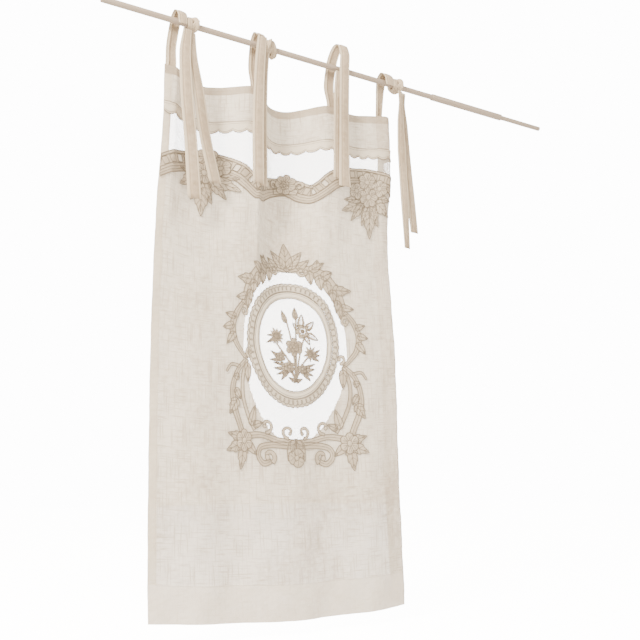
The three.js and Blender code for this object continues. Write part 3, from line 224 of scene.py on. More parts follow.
@dataclass(frozen=True)
class HungCloth:
    """The panel as it hangs: where each place of the flat cloth is in the room.

    The top edge sags between the ties, the stretches between them bulge back and fade downwards, the lower cloth
    has a few upright folds, and the right edge goes round a half circle and back behind the panel.
    """

    width: float = 670
    length: float = 1200
    turn_at: float = 612
    lower_edge_height: float = -1300
    middle_drop: float = 12
    right_drop: float = 8
    bow_depth: float = 16
    bow_from: float = 500
    bulge_rounding: float = 1.25
    tie_softness: float = 0.12
    # down, left, right, left edge's stand back, right edge's stand back, radius of the turn
    edges: tuple[Row, ...] = (
        (0, 148, 768, 0, 6, 15), (150, 150, 774, 2, 12, 14), (330, 143, 764, 0, 18, 13), (620, 142, 771, -3, 5, 12),
        (900, 149, 775, -3, 3, 13), (1100, 157, 788, 0, 10, 15), (1200, 163, 798, 2, 20, 17),
    )
    # from, to, height at from, height at to, sag, bulge, skew, where the bulge starts and ends fading
    spans: tuple[Row, ...] = (
        (28, 214, -112, -110, 8, 42, 0.85, 120, 560),
        (242, 428, -110, -107, 14, 62, 0.78, 250, 620),
        (456, 612, -107, -90, 4, 14, 0.75, 100, 420),
    )
    # across, width, depth, slant, where the fold starts and is full
    folds: tuple[Row, ...] = (
        (96, 60, -9, 20, 420, 900), (190, 46, 8, -14, 520, 1050), (300, 70, -8, 16, 700, 1150),
        (430, 54, 9, -22, 560, 1000), (520, 52, -10, 12, 300, 800),
    )
    # the same for finer creases, which fade again further down
    creases: tuple[Row, ...] = (
        (34, 12, 2.6, 26, 30, 120, 380), (222, 16, 3.2, -30, 40, 150, 420), (246, 13, -2.4, 40, 40, 150, 460),
        (424, 14, 2.8, -34, 40, 140, 420), (452, 15, -2.6, 30, 40, 160, 500), (578, 18, 2.4, -26, 60, 240, 900),
        (598, 12, -2.0, 10, 160, 300, 1000), (128, 22, 2.0, 34, 300, 520, 980),
        (250, 26, -1.8, -20, 420, 700, 1190), (372, 24, 2.0, 22, 700, 900, 1195),
        (474, 20, -2.2, -16, 480, 700, 1190), (60, 18, -1.8, 10, 560, 800, 1190),
    )
    # wavelength, height and slant of the slight unevenness all over
    ripples: tuple[Row, ...] = ((83, 0.8, 0.6), (47, 0.45, -0.9), (29, 0.25, 1.7))

    @staticmethod
    def swing(span: Array, across: Array) -> tuple[Array, Array]:
        """How far the cloth swings out between two ties: the sine of its skewed share, 0 at the ties.

        Args:
            span: The stretch's row of spans, or a row for each place.
            across: Places across the flat cloth.

        Returns:
            The share of the way from tie to tie, and the swing.
        """
        start, stop, skew = span[..., 0], span[..., 1], span[..., 6]
        t = np.clip((across - start) / (stop - start), 0, 1)
        return t, np.maximum(0, np.sin(math.pi * t**skew))

    def crease(self, row: Row, across: Array, down: Array) -> Array:
        """A row's full crease: a bell curve across of its place, width, depth and slant."""
        at, width, depth, slant = row[:4]
        return depth * np.exp(-(((across - at - slant * down / self.length) / width) ** 2))

    def top_edge(self, across: Array) -> Array:
        """The top edge's height: a straight line between two ties, less the sag.

        Args:
            across: Places across the flat cloth.

        Returns:
            The heights.
        """
        spans = np.array(self.spans)
        row = spans[np.minimum(np.searchsorted(spans[:, 1], across), len(spans) - 1)]
        t, swing = self.swing(row, across)
        return row[..., 2] + (row[..., 3] - row[..., 2]) * t - row[..., 4] * swing

    def lower_edge(self, across: Array) -> Array:
        """The lower edge's height: lower in the middle by a half sine, and lower on the right."""
        t = across / self.width
        return self.lower_edge_height - self.middle_drop * np.sin(math.pi * t) - self.right_drop * t

    def stand_back(self, across: Array, down: Array) -> Array:
        """How far the cloth stands back from the rod's plane, before its right edge turns.

        The sum of each edge's own stand back, a bulge for each stretch between ties, a bow towards the viewer, and
        folds and creases that are bell curves across and soft steps down.

        Args:
            across: Places across the flat cloth.
            down: Places down it.

        Returns:
            The distances in Y.
        """
        t = across / self.turn_at
        back = read_table(self.edges, 3, down) * (1 - t) ** 3 + read_table(self.edges, 4, down) * t**5
        for span in np.array(self.spans):
            fade = 1 - smoothstep(down, span[7], span[8])
            _, swing = self.swing(span, across)
            swing = swing**2 * (1 + self.tie_softness) / (swing + self.tie_softness)
            back = back + span[5] * fade * swing**self.bulge_rounding
        back = back - self.bow_depth * np.sin(math.pi * t) * smoothstep(down, self.bow_from, self.length)
        for row in self.folds:
            start, full = row[4:]
            back = back + self.crease(row, across, down) * smoothstep(down, start, full)
        for row in self.creases:
            start, full, end = row[4:]
            growth = smoothstep(down, start, full) * (1 - smoothstep(down, full, end))
            back = back + self.crease(row, across, down) * growth
        for wavelength, height, slant in self.ripples:
            back = back + height * np.sin(2 * math.pi * (across + slant * down) / wavelength)
        return back

    def middle(self, across: Array, down: Array) -> Array:
        """The hung place of the cloth's middle. Past turn_at it goes round a half circle, then straight back.

        Args:
            across: Places across the flat cloth.
            down: Places down it.

        Returns:
            The places, in millimetres.
        """
        left, right, radius = (read_table(self.edges, column, down) for column in (1, 2, 5))
        flat = np.minimum(across, self.turn_at)
        past = across - flat
        angle = np.minimum(past / radius, math.pi)
        straight = past - angle * radius
        x = left + (right - radius - left) * flat / self.turn_at + radius * np.sin(angle) - straight
        y = self.stand_back(flat, down) + radius * (1 - np.cos(angle))
        top = self.top_edge(across)
        z = top + (self.lower_edge(across) - top) * down / self.length
        return np.stack([x, y, z], -1)

    def forward(self, across: Array, down: Array) -> Array:
        """The way out of the cloth's front: the cross product of its slopes down and across, over 2 mm.

        Args:
            across: Places across the flat cloth.
            down: Places down it.

        Returns:
            Vectors of length one.
        """
        along_across = self.middle(across + 1, down) - self.middle(across - 1, down)
        along_down = self.middle(across, down + 1) - self.middle(across, down - 1)
        return unit(np.cross(along_down, along_across))

    def place(self, flat: Array, lift: float | Array = 0.0) -> Array:
        """The hung place of flat places that stand in front of the cloth's middle by lift."""
        across, down = flat[..., 0], flat[..., 1]
        return self.middle(across, down) + np.broadcast_to(lift, across.shape)[..., None] * self.forward(across, down)


@dataclass
class Plate:
    """A piece of cloth or tape in a motif, as a grid of places with a rise off the cloth at each."""

    flat: Array
    rise: Array
    is_round: bool = False


@dataclass
class Cord:
    """A fine cord sewn along a line."""

    line: Array
    radius: float
    rise: float | Array = 0.5
    is_closed: bool = False


@dataclass
class Motif:
    """Plates and cords in a motif's own frame, x to the right and y up."""

    plates: list[Plate] = field(default_factory=list)
    cords: list[Cord] = field(default_factory=list)

    def add(self, other: "Motif", rise: float = 0.0) -> "Motif":
        """Adds another motif that is in the same frame, raised by rise, and returns this one.

        Args:
            other: The motif that is added.
            rise: How far it is raised.

        Returns:
            This motif.
        """
        self.plates += [Plate(p.flat, p.rise + rise, p.is_round) for p in other.plates]
        self.cords += [Cord(c.line, c.radius, c.rise + rise, c.is_closed) for c in other.cords]
        return self

    def placed(self, across: float, down: float, is_mirrored: bool = False) -> "Motif":
        """The motif put at a place of the flat cloth, mirrored left to right if asked.

        Args:
            across: Where its middle goes across the cloth.
            down: Where it goes down the cloth.
            is_mirrored: Whether left and right change places.

        Returns:
            A new motif.
        """
        scale = np.array([-1.0 if is_mirrored else 1.0, -1.0])
        origin = np.array([across, down], float)
        return Motif(
            [Plate(origin + p.flat * scale, p.rise, p.is_round) for p in self.plates],
            [Cord(origin + c.line * scale, c.radius, c.rise, c.is_closed) for c in self.cords],
        )


CORD_SIDES = 5
CORD_SQUASH = 0.8


def plate_patch(plate: Plate, cloth: HungCloth, lift: float, tone: float) -> Patch:
    """Hangs a plate on the cloth. A round plate gets a middle point that closes its first row.

    Args:
        plate: The plate, at its place of the flat cloth.
        cloth: The hung cloth.
        lift: How far it lies in front of the cloth's middle.
        tone: Its own shade, from -1 to 1.

    Returns:
        The patch, with its faces towards the front.
    """
    rows, columns = plate.flat.shape[:2]
    faces = grid_faces(rows, columns, plate.is_round)
    flat, rise = plate.flat.reshape(-1, 2), plate.rise.ravel()
    if plate.is_round:
        ring = np.arange(columns)
        fan = [np.full(columns, rows * columns), np.roll(ring, -1), ring, np.full(columns, -1)]
        faces = np.concatenate([faces, np.stack(fan, -1)])
        flat = np.concatenate([flat, plate.flat[0].mean(0, keepdims=True)])
        rise = np.append(rise, plate.rise[0].mean())
    first, second, third = (flat[faces[:, k]] for k in range(3))
    turned = np.cross(second - first, third - first).sum()
    if turned > 0:
        faces = np.where(faces[:, 3:] >= 0, faces[:, [0, 3, 2, 1]], faces[:, [0, 2, 1, 3]])
    return Patch(cloth.place(flat, lift + rise), faces, flat, {"cord": 0.0, "tone": tone})


def tube(middle: Array, out: Array, radius: float | Array, is_closed: bool, sides: int) -> Array:
    """Rings round a line: a flattened circle in the plane of the line's side and the cloth's way out.

    Args:
        middle: The line's points.
        out: The way out of the cloth at each.
        radius: The cord's radius.
        is_closed: Whether the line closes on itself.
        sides: The number of points in a ring.

    Returns:
        The points, ring by ring.
    """
    along = np.roll(middle, -1, 0) - np.roll(middle, 1, 0) if is_closed else np.gradient(middle, axis=0)
    side = unit(np.cross(out, along))
    angle = 2 * math.pi * np.arange(sides) / sides - math.pi / 2
    reach = np.broadcast_to(radius, len(middle))[:, None, None]
    ring = np.cos(angle)[None, :, None] * side[:, None] + CORD_SQUASH * np.sin(angle)[None, :, None] * out[:, None]
    return (middle[:, None] + reach * ring).reshape(-1, 3)


def cord_patches(cords: Sequence[Cord], cloth: HungCloth, lift: float) -> list[Patch]:
    """Hangs cords on the cloth as tubes. Their flat places are the length along and the way round.

    Args:
        cords: The cords, at their places of the flat cloth.
        cloth: The hung cloth.
        lift: How far they lie in front of the cloth's middle.

    Returns:
        A patch for each cord.
    """
    if not cords:
        return []
    sizes = [len(cord.line) for cord in cords]
    flat = np.concatenate([cord.line for cord in cords])
    rise = np.concatenate([np.broadcast_to(cord.rise, size) for cord, size in zip(cords, sizes)])
    out = cloth.forward(flat[:, 0], flat[:, 1])
    middle = cloth.middle(flat[:, 0], flat[:, 1]) + (lift + rise)[:, None] * out
    ends = np.cumsum(sizes)
    round_faces = np.arange(CORD_SIDES)
    patches = []
    for cord, size, end in zip(cords, sizes, ends):
        rows = slice(end - size, end)
        points = tube(middle[rows], out[rows], cord.radius, cord.is_closed, CORD_SIDES)
        faces = grid_faces(size, CORD_SIDES, True, cord.is_closed)
        if not cord.is_closed:
            last = (size - 1) * CORD_SIDES
            first_end = [[0, 3, 2, 1], [0, 4, 3, -1]]
            last_end = [[last, last + 1, last + 2, last + 3], [last, last + 3, last + 4, -1]]
            faces = np.concatenate([faces, first_end, last_end])
        along = length_along(middle[rows])
        way = round_faces * 2 * math.pi * cord.radius / CORD_SIDES
        flat_places = np.stack(np.broadcast_arrays(along[:, None], way[None, :]), -1).reshape(-1, 2)
        patches.append(Patch(points, faces, flat_places, {"cord": 1.0, "tone": 0.0}))
    return patches


def hang(name: str, motifs: Sequence[Motif], cloth: HungCloth, lift: float, seed: int = 1) -> Piece:
    """Hangs motifs on the cloth as one mesh, with a slight shade of its own for each plate.

    Args:
        name: The piece's name.
        motifs: The motifs, at their places of the flat cloth.
        cloth: The hung cloth.
        lift: How far the work lies in front of the cloth's middle.
        seed: The seed of the plates' shades.

    Returns:
        The piece.
    """
    shades = np.random.default_rng(seed)
    plates = [plate for motif in motifs for plate in motif.plates]
    cords = [cord for motif in motifs for cord in motif.cords]
    patches = [plate_patch(plate, cloth, lift, shades.uniform(-1, 1)) for plate in plates]
    return mesh_of(name, patches + cord_patches(cords, cloth, lift))


CORD_RADIUS = 1.0
VEIN_RADIUS = 0.55
LEAF_SKEW = 0.58
LEAF_FULLNESS = 0.9
TOOTH_DEPTH = 0.34
VOLUTE_CLOSING = 0.62
VOLUTE_TAPER = 0.25


def leaf(row: Row, teeth: int = 0, veins: int = 4, cord: float = CORD_RADIUS) -> Motif:
    """A pointed leaf with a corded edge, a midrib and side veins.

    Its half width is a skewed sine of the share along it, cut by a saw line if it has teeth. It is crowned between
    its edge and its midrib.

    Args:
        row: Foot x and y, tip x and y, and width.
        teeth: The number of teeth on each side.
        veins: The number of side veins on each side.
        cord: The radius of the edge's cord.

    Returns:
        The leaf.
    """
    foot, tip, width = np.array(row[:2], float), np.array(row[2:4], float), row[4]
    along = tip - foot
    side = unit(np.array([-along[1], along[0]]))
    t = np.linspace(0, 1, 6 * teeth + 1 if teeth else 15)
    s = np.linspace(-1, 1, 7)

    def half_at(share: Array) -> Array:
        """The half width at shares of the length."""
        saw = 1 + TOOTH_DEPTH * ((share * teeth) % 1 - 0.6) if teeth else 1.0
        return 0.5 * width * np.maximum(np.sin(math.pi * np.clip(share, 0, 1) ** LEAF_SKEW), 0) ** LEAF_FULLNESS * saw

    half = half_at(t)
    half[-1] = 0
    line = foot + t[:, None] * along
    flat = line[:, None] + s[None, :, None] * half[:, None, None] * side
    swell = np.sin(math.pi * t)[:, None]
    rise = swell * (0.9 * (1 - s**2) * np.minimum(1, 3.2 * np.abs(s)))[None, :]
    edge = np.concatenate([flat[:, -1], flat[-2:0:-1, 0]])
    cords = [
        Cord(edge, cord, 0.4, True),
        Cord(foot + np.linspace(0.02, 0.9, 7)[:, None] * along, 0.75 * cord, 0.35),
    ]
    for share in np.linspace(0.16, 0.7, veins):
        steps = np.linspace(0, 1, 4)
        for sign in (-1, 1):
            place = share + 0.17 * steps
            out = sign * 0.82 * steps[:, None] * half_at(place)[:, None] * side
            cords.append(Cord(foot + place[:, None] * along + out, VEIN_RADIUS, 0.7))
    return Motif([Plate(flat, rise)], cords)


def flower(x: float, y: float, radius: float, petals: int, depth: float = 0.22, cord: float = CORD_RADIUS) -> Motif:
    """A round flower: its edge goes in and out once a petal, each petal is crowned and its heart is a boss.

    Args:
        x: The centre's x.
        y: The centre's y.
        radius: The petals' reach.
        petals: Their number.
        depth: How far the edge goes in between them, as a share.
        cord: The radius of the edge's cord.

    Returns:
        The flower.
    """
    angle = np.linspace(0, 2 * math.pi, 8 * petals, endpoint=False)
    swing = np.abs(np.sin(petals * angle / 2))
    edge = radius * (1 - depth + depth * swing**0.7)
    share = np.array([0.08, 0.18, 0.3, 0.45, 0.62, 0.8, 1.0])[:, None]
    heading = np.stack([np.cos(angle), np.sin(angle)], -1)
    centre = np.array([x, y], float)
    flat = centre + (share * edge)[..., None] * heading
    petal = 1.5 * swing**0.8 * np.sin(math.pi * np.clip((share - 0.2) / 0.8, 0, 1)) ** 0.7
    boss = 1.6 * np.clip(1 - (share / 0.3) ** 2, 0, 1) * np.ones_like(swing)
    cords = [
        Cord(centre + edge[:, None] * heading, cord, 0.4, True),
        Cord(centre + 0.27 * radius * heading[::2], 0.8 * cord, 0.8, True),
    ]
    reach = np.linspace(0.3, 0.97 * (1 - depth), 5)
    lines = np.linspace(0, 2 * math.pi, petals, endpoint=False)
    for way in lines:
        between = centre + radius * reach[:, None] * np.array([[math.cos(way), math.sin(way)]])
        cords.append(Cord(between, 0.7 * cord, 0.5))
        for lean in (-0.09, 0.09):
            turn = way + math.pi / petals + lean * np.linspace(0.6, 2.2, 4) * 6 / petals
            rays = np.stack([np.cos(turn), np.sin(turn)], -1)
            cords.append(Cord(centre + radius * np.linspace(0.36, 0.78, 4)[:, None] * rays, VEIN_RADIUS, 1.5))
    return Motif([Plate(flat, petal + boss, True)], cords)


def tape(rows: Sequence[Row], steps: int = 7, cord: float = CORD_RADIUS, is_lined: bool = False) -> Motif:
    """A tape along a smooth line through rows of x, y and width, with a cord along each edge.

    Args:
        rows: The places and widths.
        steps: The number of steps between two rows.
        cord: The radius of the edges' cords.
        is_lined: Whether a finer line runs along its middle.

    Returns:
        The tape.
    """
    line = spline(rows, steps)
    along = unit(np.gradient(line[:, :2], axis=0))
    side = np.stack([-along[:, 1], along[:, 0]], -1)
    s = np.linspace(-1, 1, 5)
    flat = line[:, None, :2] + s[None, :, None] * (line[:, 2:3] / 2 * side)[:, None]
    rise = np.broadcast_to(0.7 * (1 - s**2), flat.shape[:2]).copy()
    edge = np.concatenate([flat[:, -1], flat[::-1, 0]])
    cords = [Cord(edge, cord, 0.4, True)]
    if is_lined:
        cords.append(Cord(line[1:-1, :2], VEIN_RADIUS, 0.8))
    return Motif([Plate(flat, rise)], cords)


def volute(x: float, y: float, radius: float, start: float, turn: float, width: float, cord: float = 0.9) -> Motif:
    """A tape that winds in towards its centre, its reach falling evenly with its turn, and ends in a boss.

    Args:
        x: The centre's x.
        y: The centre's y.
        radius: The reach at its start.
        start: The angle of its start.
        turn: How far it turns, in radians.
        width: The tape's width at its start.
        cord: The radius of its cords.

    Returns:
        The volute.
    """
    t = np.linspace(0, 1, 8)
    angle = start + turn * t
    reach = radius * (1 - VOLUTE_CLOSING * t)
    rows = np.stack([x + reach * np.cos(angle), y + reach * np.sin(angle), width * (1 - VOLUTE_TAPER * t)], -1)
    motif = tape(rows, 4, cord)
    ring = np.linspace(0, 2 * math.pi, 12, endpoint=False)
    heading = np.stack([np.cos(ring), np.sin(ring)], -1)
    share = np.array([0.25, 0.6, 1.0])[:, None]
    boss_radius = 0.62 * width
    flat = rows[-1, :2] + boss_radius * share[..., None] * heading[None]
    boss = Plate(flat, np.broadcast_to(1.6 - 1.2 * share**2, flat.shape[:2]).copy(), True)
    motif.plates.append(boss)
    motif.cords.append(Cord(rows[-1, :2] + boss_radius * heading, 0.8 * cord, 0.9, True))
    return motif


@dataclass(frozen=True)
class Border:
    """The ladder border: a taped ribbon, a row of windows between rungs, and an upper cord, waved over the panel."""

    ribbon: float = 19
    windows: float = 20
    cord: float = 6
    window_width: float = 13
    pitch: float = 38
    samples: int = 400
    end: float = 2
    side_hem: float = 18
    panel_width: float = 670
    # across, down of the lower edge
    line: tuple[Row, ...] = (
        (-40, 292), (0, 270), (66, 231), (128, 212), (182, 236), (212, 260), (234, 275), (262, 264), (298, 234),
        (335, 223), (366, 240), (394, 249), (426, 234), (460, 206), (505, 190), (560, 190), (620, 206), (670, 232),
        (710, 258),
    )
    # stretches where every window is closed
    closed: tuple[Row, ...] = ((78, 150), (285, 385), (500, 700))
    # height above the lower edge, radius and rise of the long cords
    long_cords: tuple[Row, ...] = (
        (0.4, 1.7, 0.7), (6.2, 0.7, 0.7), (12.6, 0.8, 0.8), (19, 1.0, 0.4), (39, 1.0, 0.5), (45, 1.2, 0.5),
    )
    cord_step: float = 3
    window_inset: float = 1.4
    window_squareness: float = 0.35

    @property
    def height(self) -> float:
        """The border's whole height."""
        return self.ribbon + self.windows + self.cord

    def lower_line(self) -> tuple[Array, Array, Array]:
        """Points along the lower edge, the way up at each, and the length so far.

        Returns:
            The points, the ways up and the lengths.
        """
        across = np.linspace(self.line[0][0], self.line[-1][0], self.samples + 1)
        points = np.stack([across, read_table(self.line, 1, across)], -1)
        along = unit(np.gradient(points, axis=0))
        return points, np.stack([along[:, 1], -along[:, 0]], -1), length_along(points)

    def place(self, length: Array, height: Array) -> Array:
        """The flat place at a length along the lower edge and a height above it, kept on the panel.

        Args:
            length: Lengths along the lower edge.
            height: Heights above it.

        Returns:
            The flat places.
        """
        points, up, lengths = self.lower_line()
        length, height = np.broadcast_arrays(np.asarray(length, float), np.asarray(height, float))
        columns = [np.interp(length, lengths, values) for values in (*points.T, *up.T)]
        place = np.stack(columns[:2], -1) + height[..., None] * unit(np.stack(columns[2:], -1))
        place[..., 0] = np.clip(place[..., 0], self.end, self.panel_width - self.end)
        return place

    def span(self) -> tuple[float, float]:
        """The lengths at which the border's lower edge comes onto the panel and leaves it.

        Returns:
            The two lengths.
        """
        points, _, lengths = self.lower_line()
        on_panel = lengths[(points[:, 0] > self.end) & (points[:, 0] < self.panel_width - self.end)]
        return on_panel[0], on_panel[-1]

    def down_at(self, across: Array, height: float) -> Array:
        """How far down the line at a height above the lower edge is, at places across the cloth.

        Args:
            across: Places across the flat cloth.
            height: The line's height above the lower edge.

        Returns:
            Places down the cloth.
        """
        points, up, _ = self.lower_line()
        line = points + height * up
        further = line[:, 0] >= np.maximum.accumulate(line[:, 0])
        return np.interp(across, line[further, 0], line[further, 1])

    def crowned(self, lengths: Array, heights: Array, crown: float) -> Plate:
        """The plate between lengths along the lower edge and heights above it, crowned by half a sine.

        Args:
            lengths: Its marks along the lower edge.
            heights: Its rows above it.
            crown: The height of its middle.

        Returns:
            The plate.
        """
        share = (heights - heights[0]) / (heights[-1] - heights[0])
        flat = self.place(lengths[:, None], heights[None, :])
        return Plate(flat, np.broadcast_to(crown * np.sin(math.pi * share), flat.shape[:2]).copy())

    def plates(self, lengths: Array, is_cut: Array) -> list[Plate]:
        """The ribbon, the windows' row less the open windows, and the upper tape.

        Args:
            lengths: Marks along the lower edge.
            is_cut: Whether the windows' row is open from each mark to the next.

        Returns:
            The plates.
        """
        top = self.ribbon + self.windows
        window_heights = np.linspace(self.ribbon, top, 5)
        breaks = np.flatnonzero(np.diff(is_cut.astype(int))) + 1
        runs = [run for run in np.split(np.arange(len(is_cut)), breaks) if not is_cut[run[0]]]
        return [
            self.crowned(lengths, np.linspace(0, self.ribbon, 8), 0.9),
            *[self.crowned(lengths[run[0] : run[-1] + 2], window_heights, 0.0) for run in runs],
            self.crowned(lengths, np.linspace(top, self.height, 4), 0.8),
        ]

    def window_cord(self, middle: float, radius: float) -> Cord:
        """The cord round a window: a circle pulled square by a root of each of its parts.

        Args:
            middle: The length at the window's middle.
            radius: The cord's radius.

        Returns:
            The cord.
        """
        angle = np.linspace(0, 2 * math.pi, 24, endpoint=False)
        circle = np.stack([np.cos(angle), np.sin(angle)], -1)
        square = np.sign(circle) * np.abs(circle) ** self.window_squareness
        lengths = middle + self.window_width / 2 * square[:, 0]
        heights = self.ribbon + self.windows / 2 + (self.windows / 2 - self.window_inset) * square[:, 1]
        return Cord(self.place(lengths, heights), radius, 0.4, True)

    def motif(self) -> Motif:
        """The border's tapes, rungs, windows and cords, at their places of the flat cloth.

        Returns:
            The motif.
        """
        start, stop = self.span()
        count = 2 * int((stop - start) // self.pitch)
        half = (stop - start) / count
        middles = start + half * (np.arange(count) + 0.5)
        across = self.place(middles, self.ribbon)[:, 0]
        is_open = (np.arange(count) % 2 == 1) & (across > self.side_hem)
        for low, high in self.closed:
            is_open &= (across <= low) | (across >= high)
        rung = (half - self.window_width) / 2
        cell = np.array([0, rung, *(rung + self.window_width * np.array([0.25, 0.5, 0.75, 1]))])
        lengths = np.append(start + half * np.arange(count)[:, None] + cell, stop)
        is_cut = is_open[:, None] & np.array([False, True, True, True, True, False])
        run = np.linspace(start, stop, int((stop - start) / self.cord_step))
        cords = [Cord(self.place(run, height), radius, rise) for height, radius, rise in self.long_cords]
        for n in range(count):
            if self.side_hem / 2 < across[n] < self.panel_width - self.side_hem / 2:
                cords.append(self.window_cord(middles[n], 1.0 if is_open[n] else 0.7))
        return Motif(self.plates(lengths, is_cut.ravel()), cords)


DRAWN_IN = 0.13
DRAWN_IN_FROM, DRAWN_IN_TO = 50, 170


def left_share(reach: Array) -> Array:
    """How much of its reach the medallion's left half keeps: all near the middle, and less further out."""
    return 1 - DRAWN_IN * smoothstep(reach, DRAWN_IN_FROM, DRAWN_IN_TO)


@dataclass(frozen=True)
class Openings:
    """The two places where the linen is cut away behind a net."""

    border: Border
    band_middle: float = 98.5
    seam_height: float = 39
    left: float = 18
    right: float = 652
    across: float = 335
    down: float = 600
    half_width: float = 139
    half_height: float = 176
    foot: float = 52
    foot_width: float = 1.12
    undrawn: float = 1.1

    def heading_gap(self, across: Array, down: Array) -> Array:
        """The distance to the heading net's opening, less than zero inside it."""
        lower = down - self.border.down_at(across, self.seam_height)
        return np.max([self.band_middle - down, lower, self.left - across, across - self.right], axis=0)

    def medallion_gap(self, across: Array, down: Array) -> Array:
        """The distance to the medallion's opening, an oval whose lower part is longer and a little wider.

        Args:
            across: Places across the flat cloth.
            down: Places down it.

        Returns:
            The distances.
        """
        angle = np.linspace(0, 2 * math.pi, 721)
        low = np.maximum(0, -np.sin(angle))
        x = self.half_width * (1 + (self.foot_width - 1) * low) * np.cos(angle)
        y = (self.half_height + self.foot * low**2) * np.sin(angle)
        outline_angle = np.unwrap(np.arctan2(y, x))
        aside = across - self.across
        aside = np.where(aside < 0, aside / left_share(np.abs(aside) * self.undrawn), aside)
        from_centre = np.stack([aside, self.down - down])
        way = np.arctan2(from_centre[1], from_centre[0]) % (2 * math.pi)
        return np.hypot(*from_centre) - np.interp(way, outline_angle, np.hypot(x, y))

    def gap(self, flat: Array) -> Array:
        """The distance from flat places to the nearer opening, less than zero inside one."""
        across, down = flat[..., 0], flat[..., 1]
        return np.minimum(self.heading_gap(across, down), self.medallion_gap(across, down))


class Wiring:
    """Adds nodes to one node tree and joins their sockets."""

    def __init__(self, tree: Tree) -> None:
        """Keeps the tree."""
        self.tree = tree

    def node(self, kind: str, **settings: object) -> Node:
        """A new node of a kind, with its settings.

        Args:
            kind: The node's type.
            settings: Its properties.

        Returns:
            The node.
        """
        made = self.tree.nodes.new(kind)
        for name, value in settings.items():
            setattr(made, name, value)
        return made

    def feed(self, socket: Socket, value: object) -> None:
        """Joins a socket to another, or sets its own value.

        Args:
            socket: The input.
            value: A socket, or a value of its own.
        """
        if isinstance(value, Socket):
            self.tree.links.new(value, socket)
        else:
            socket.default_value = value

    def math(self, operation: str, *values: object, is_clamped: bool = False) -> Socket:
        """The result of a sum on numbers or sockets.

        Args:
            operation: The sum's kind.
            values: Numbers or sockets.
            is_clamped: Whether it is kept from 0 to 1.

        Returns:
            The result.
        """
        made = self.node("ShaderNodeMath", operation=operation, use_clamp=is_clamped)
        for socket, value in zip(made.inputs, values):
            self.feed(socket, value)
        return made.outputs[0]

    def scaled(self, vector: Socket, scale: Row) -> Socket:
        """A vector with each of its parts multiplied.

        Args:
            vector: The vector.
            scale: What each part is multiplied by.

        Returns:
            The result.
        """
        made = self.node("ShaderNodeVectorMath", operation="MULTIPLY")
        self.feed(made.inputs[0], vector)
        made.inputs[1].default_value = scale
        return made.outputs[0]

    def noise(self, vector: Socket, scale: float, detail: float = 2.0) -> Socket:
        """Soft noise from 0 to 1.

        Args:
            vector: Where it is read.
            scale: How fine it is.
            detail: How many finer layers it has.

        Returns:
            The noise.
        """
        made = self.node("ShaderNodeTexNoise")
        self.feed(made.inputs["Vector"], vector)
        made.inputs["Scale"].default_value = scale
        made.inputs["Detail"].default_value = detail
        return made.outputs["Fac"]

    def ramp(self, value: object, low: float, high: float, start: float = 0.0, stop: float = 1.0) -> Socket:
        """A value's stretch from low to high put on start to stop by a soft step.

        Args:
            value: The value, as a number or socket.
            low: Where the stretch starts.
            high: Where it ends, which may be below low.
            start: What comes out at low.
            stop: What comes out at high.

        Returns:
            The result.
        """
        made = self.node("ShaderNodeMapRange", interpolation_type="SMOOTHSTEP")
        ends = {"From Min": low, "From Max": high, "To Min": start, "To Max": stop}
        for name, number in {"Value": value, **ends}.items():
            self.feed(made.inputs[name], number)
        return made.outputs[0]

    def blend(self, factor: object, first: object, second: object) -> Socket:
        """A colour between two.

        Args:
            factor: The second colour's share.
            first: A colour.
            second: Another.

        Returns:
            The colour between.
        """
        made = self.node("ShaderNodeMix", data_type="RGBA", clamp_factor=True)
        self.feed(made.inputs["Factor"], factor)
        self.feed(made.inputs[6], first)
        self.feed(made.inputs[7], second)
        return made.outputs[2]

    def parts(self, vector: Socket) -> Sequence[Socket]:
        """A vector's three parts.

        Args:
            vector: The vector.

        Returns:
            Its X, Y and Z.
        """
        made = self.node("ShaderNodeSeparateXYZ")
        self.feed(made.inputs[0], vector)
        return made.outputs

    def mark(self, name: str) -> Socket:
        """A mesh attribute's value."""
        return self.node("ShaderNodeAttribute", attribute_name=name).outputs["Fac"]

    def flat_place(self) -> Socket:
        """The flat place on the cloth, in metres, from the UV map."""
        return self.node("ShaderNodeUVMap", uv_map="UVMap").outputs[0]

    def group(self, tree: Tree, **values: object) -> Node:
        """A node group with its own values.

        Args:
            tree: The group.
            values: Its inputs by name.

        Returns:
            The node.
        """
        made = self.node("ShaderNodeGroup")
        made.node_tree = tree
        for name, value in values.items():
            self.feed(made.inputs[name], value)
        return made


def new_group(name: str, inputs: dict[str, str], outputs: Sequence[str]) -> tuple[Wiring, Node, Node]:
    """Starts a node group with named sockets.

    Args:
        name: The group's name.
        inputs: The inputs' names and socket types.
        outputs: The names of its numbers out.

    Returns:
        The wiring of its tree, and its input and output nodes.
    """
    tree = bpy.data.node_groups.new(name, "ShaderNodeTree")
    for label, kind in inputs.items():
        tree.interface.new_socket(label, in_out="INPUT", socket_type=kind)
    for label in outputs:
        tree.interface.new_socket(label, in_out="OUTPUT", socket_type="NodeSocketFloat")
    wiring = Wiring(tree)
    return wiring, wiring.node("NodeGroupInput"), wiring.node("NodeGroupOutput")


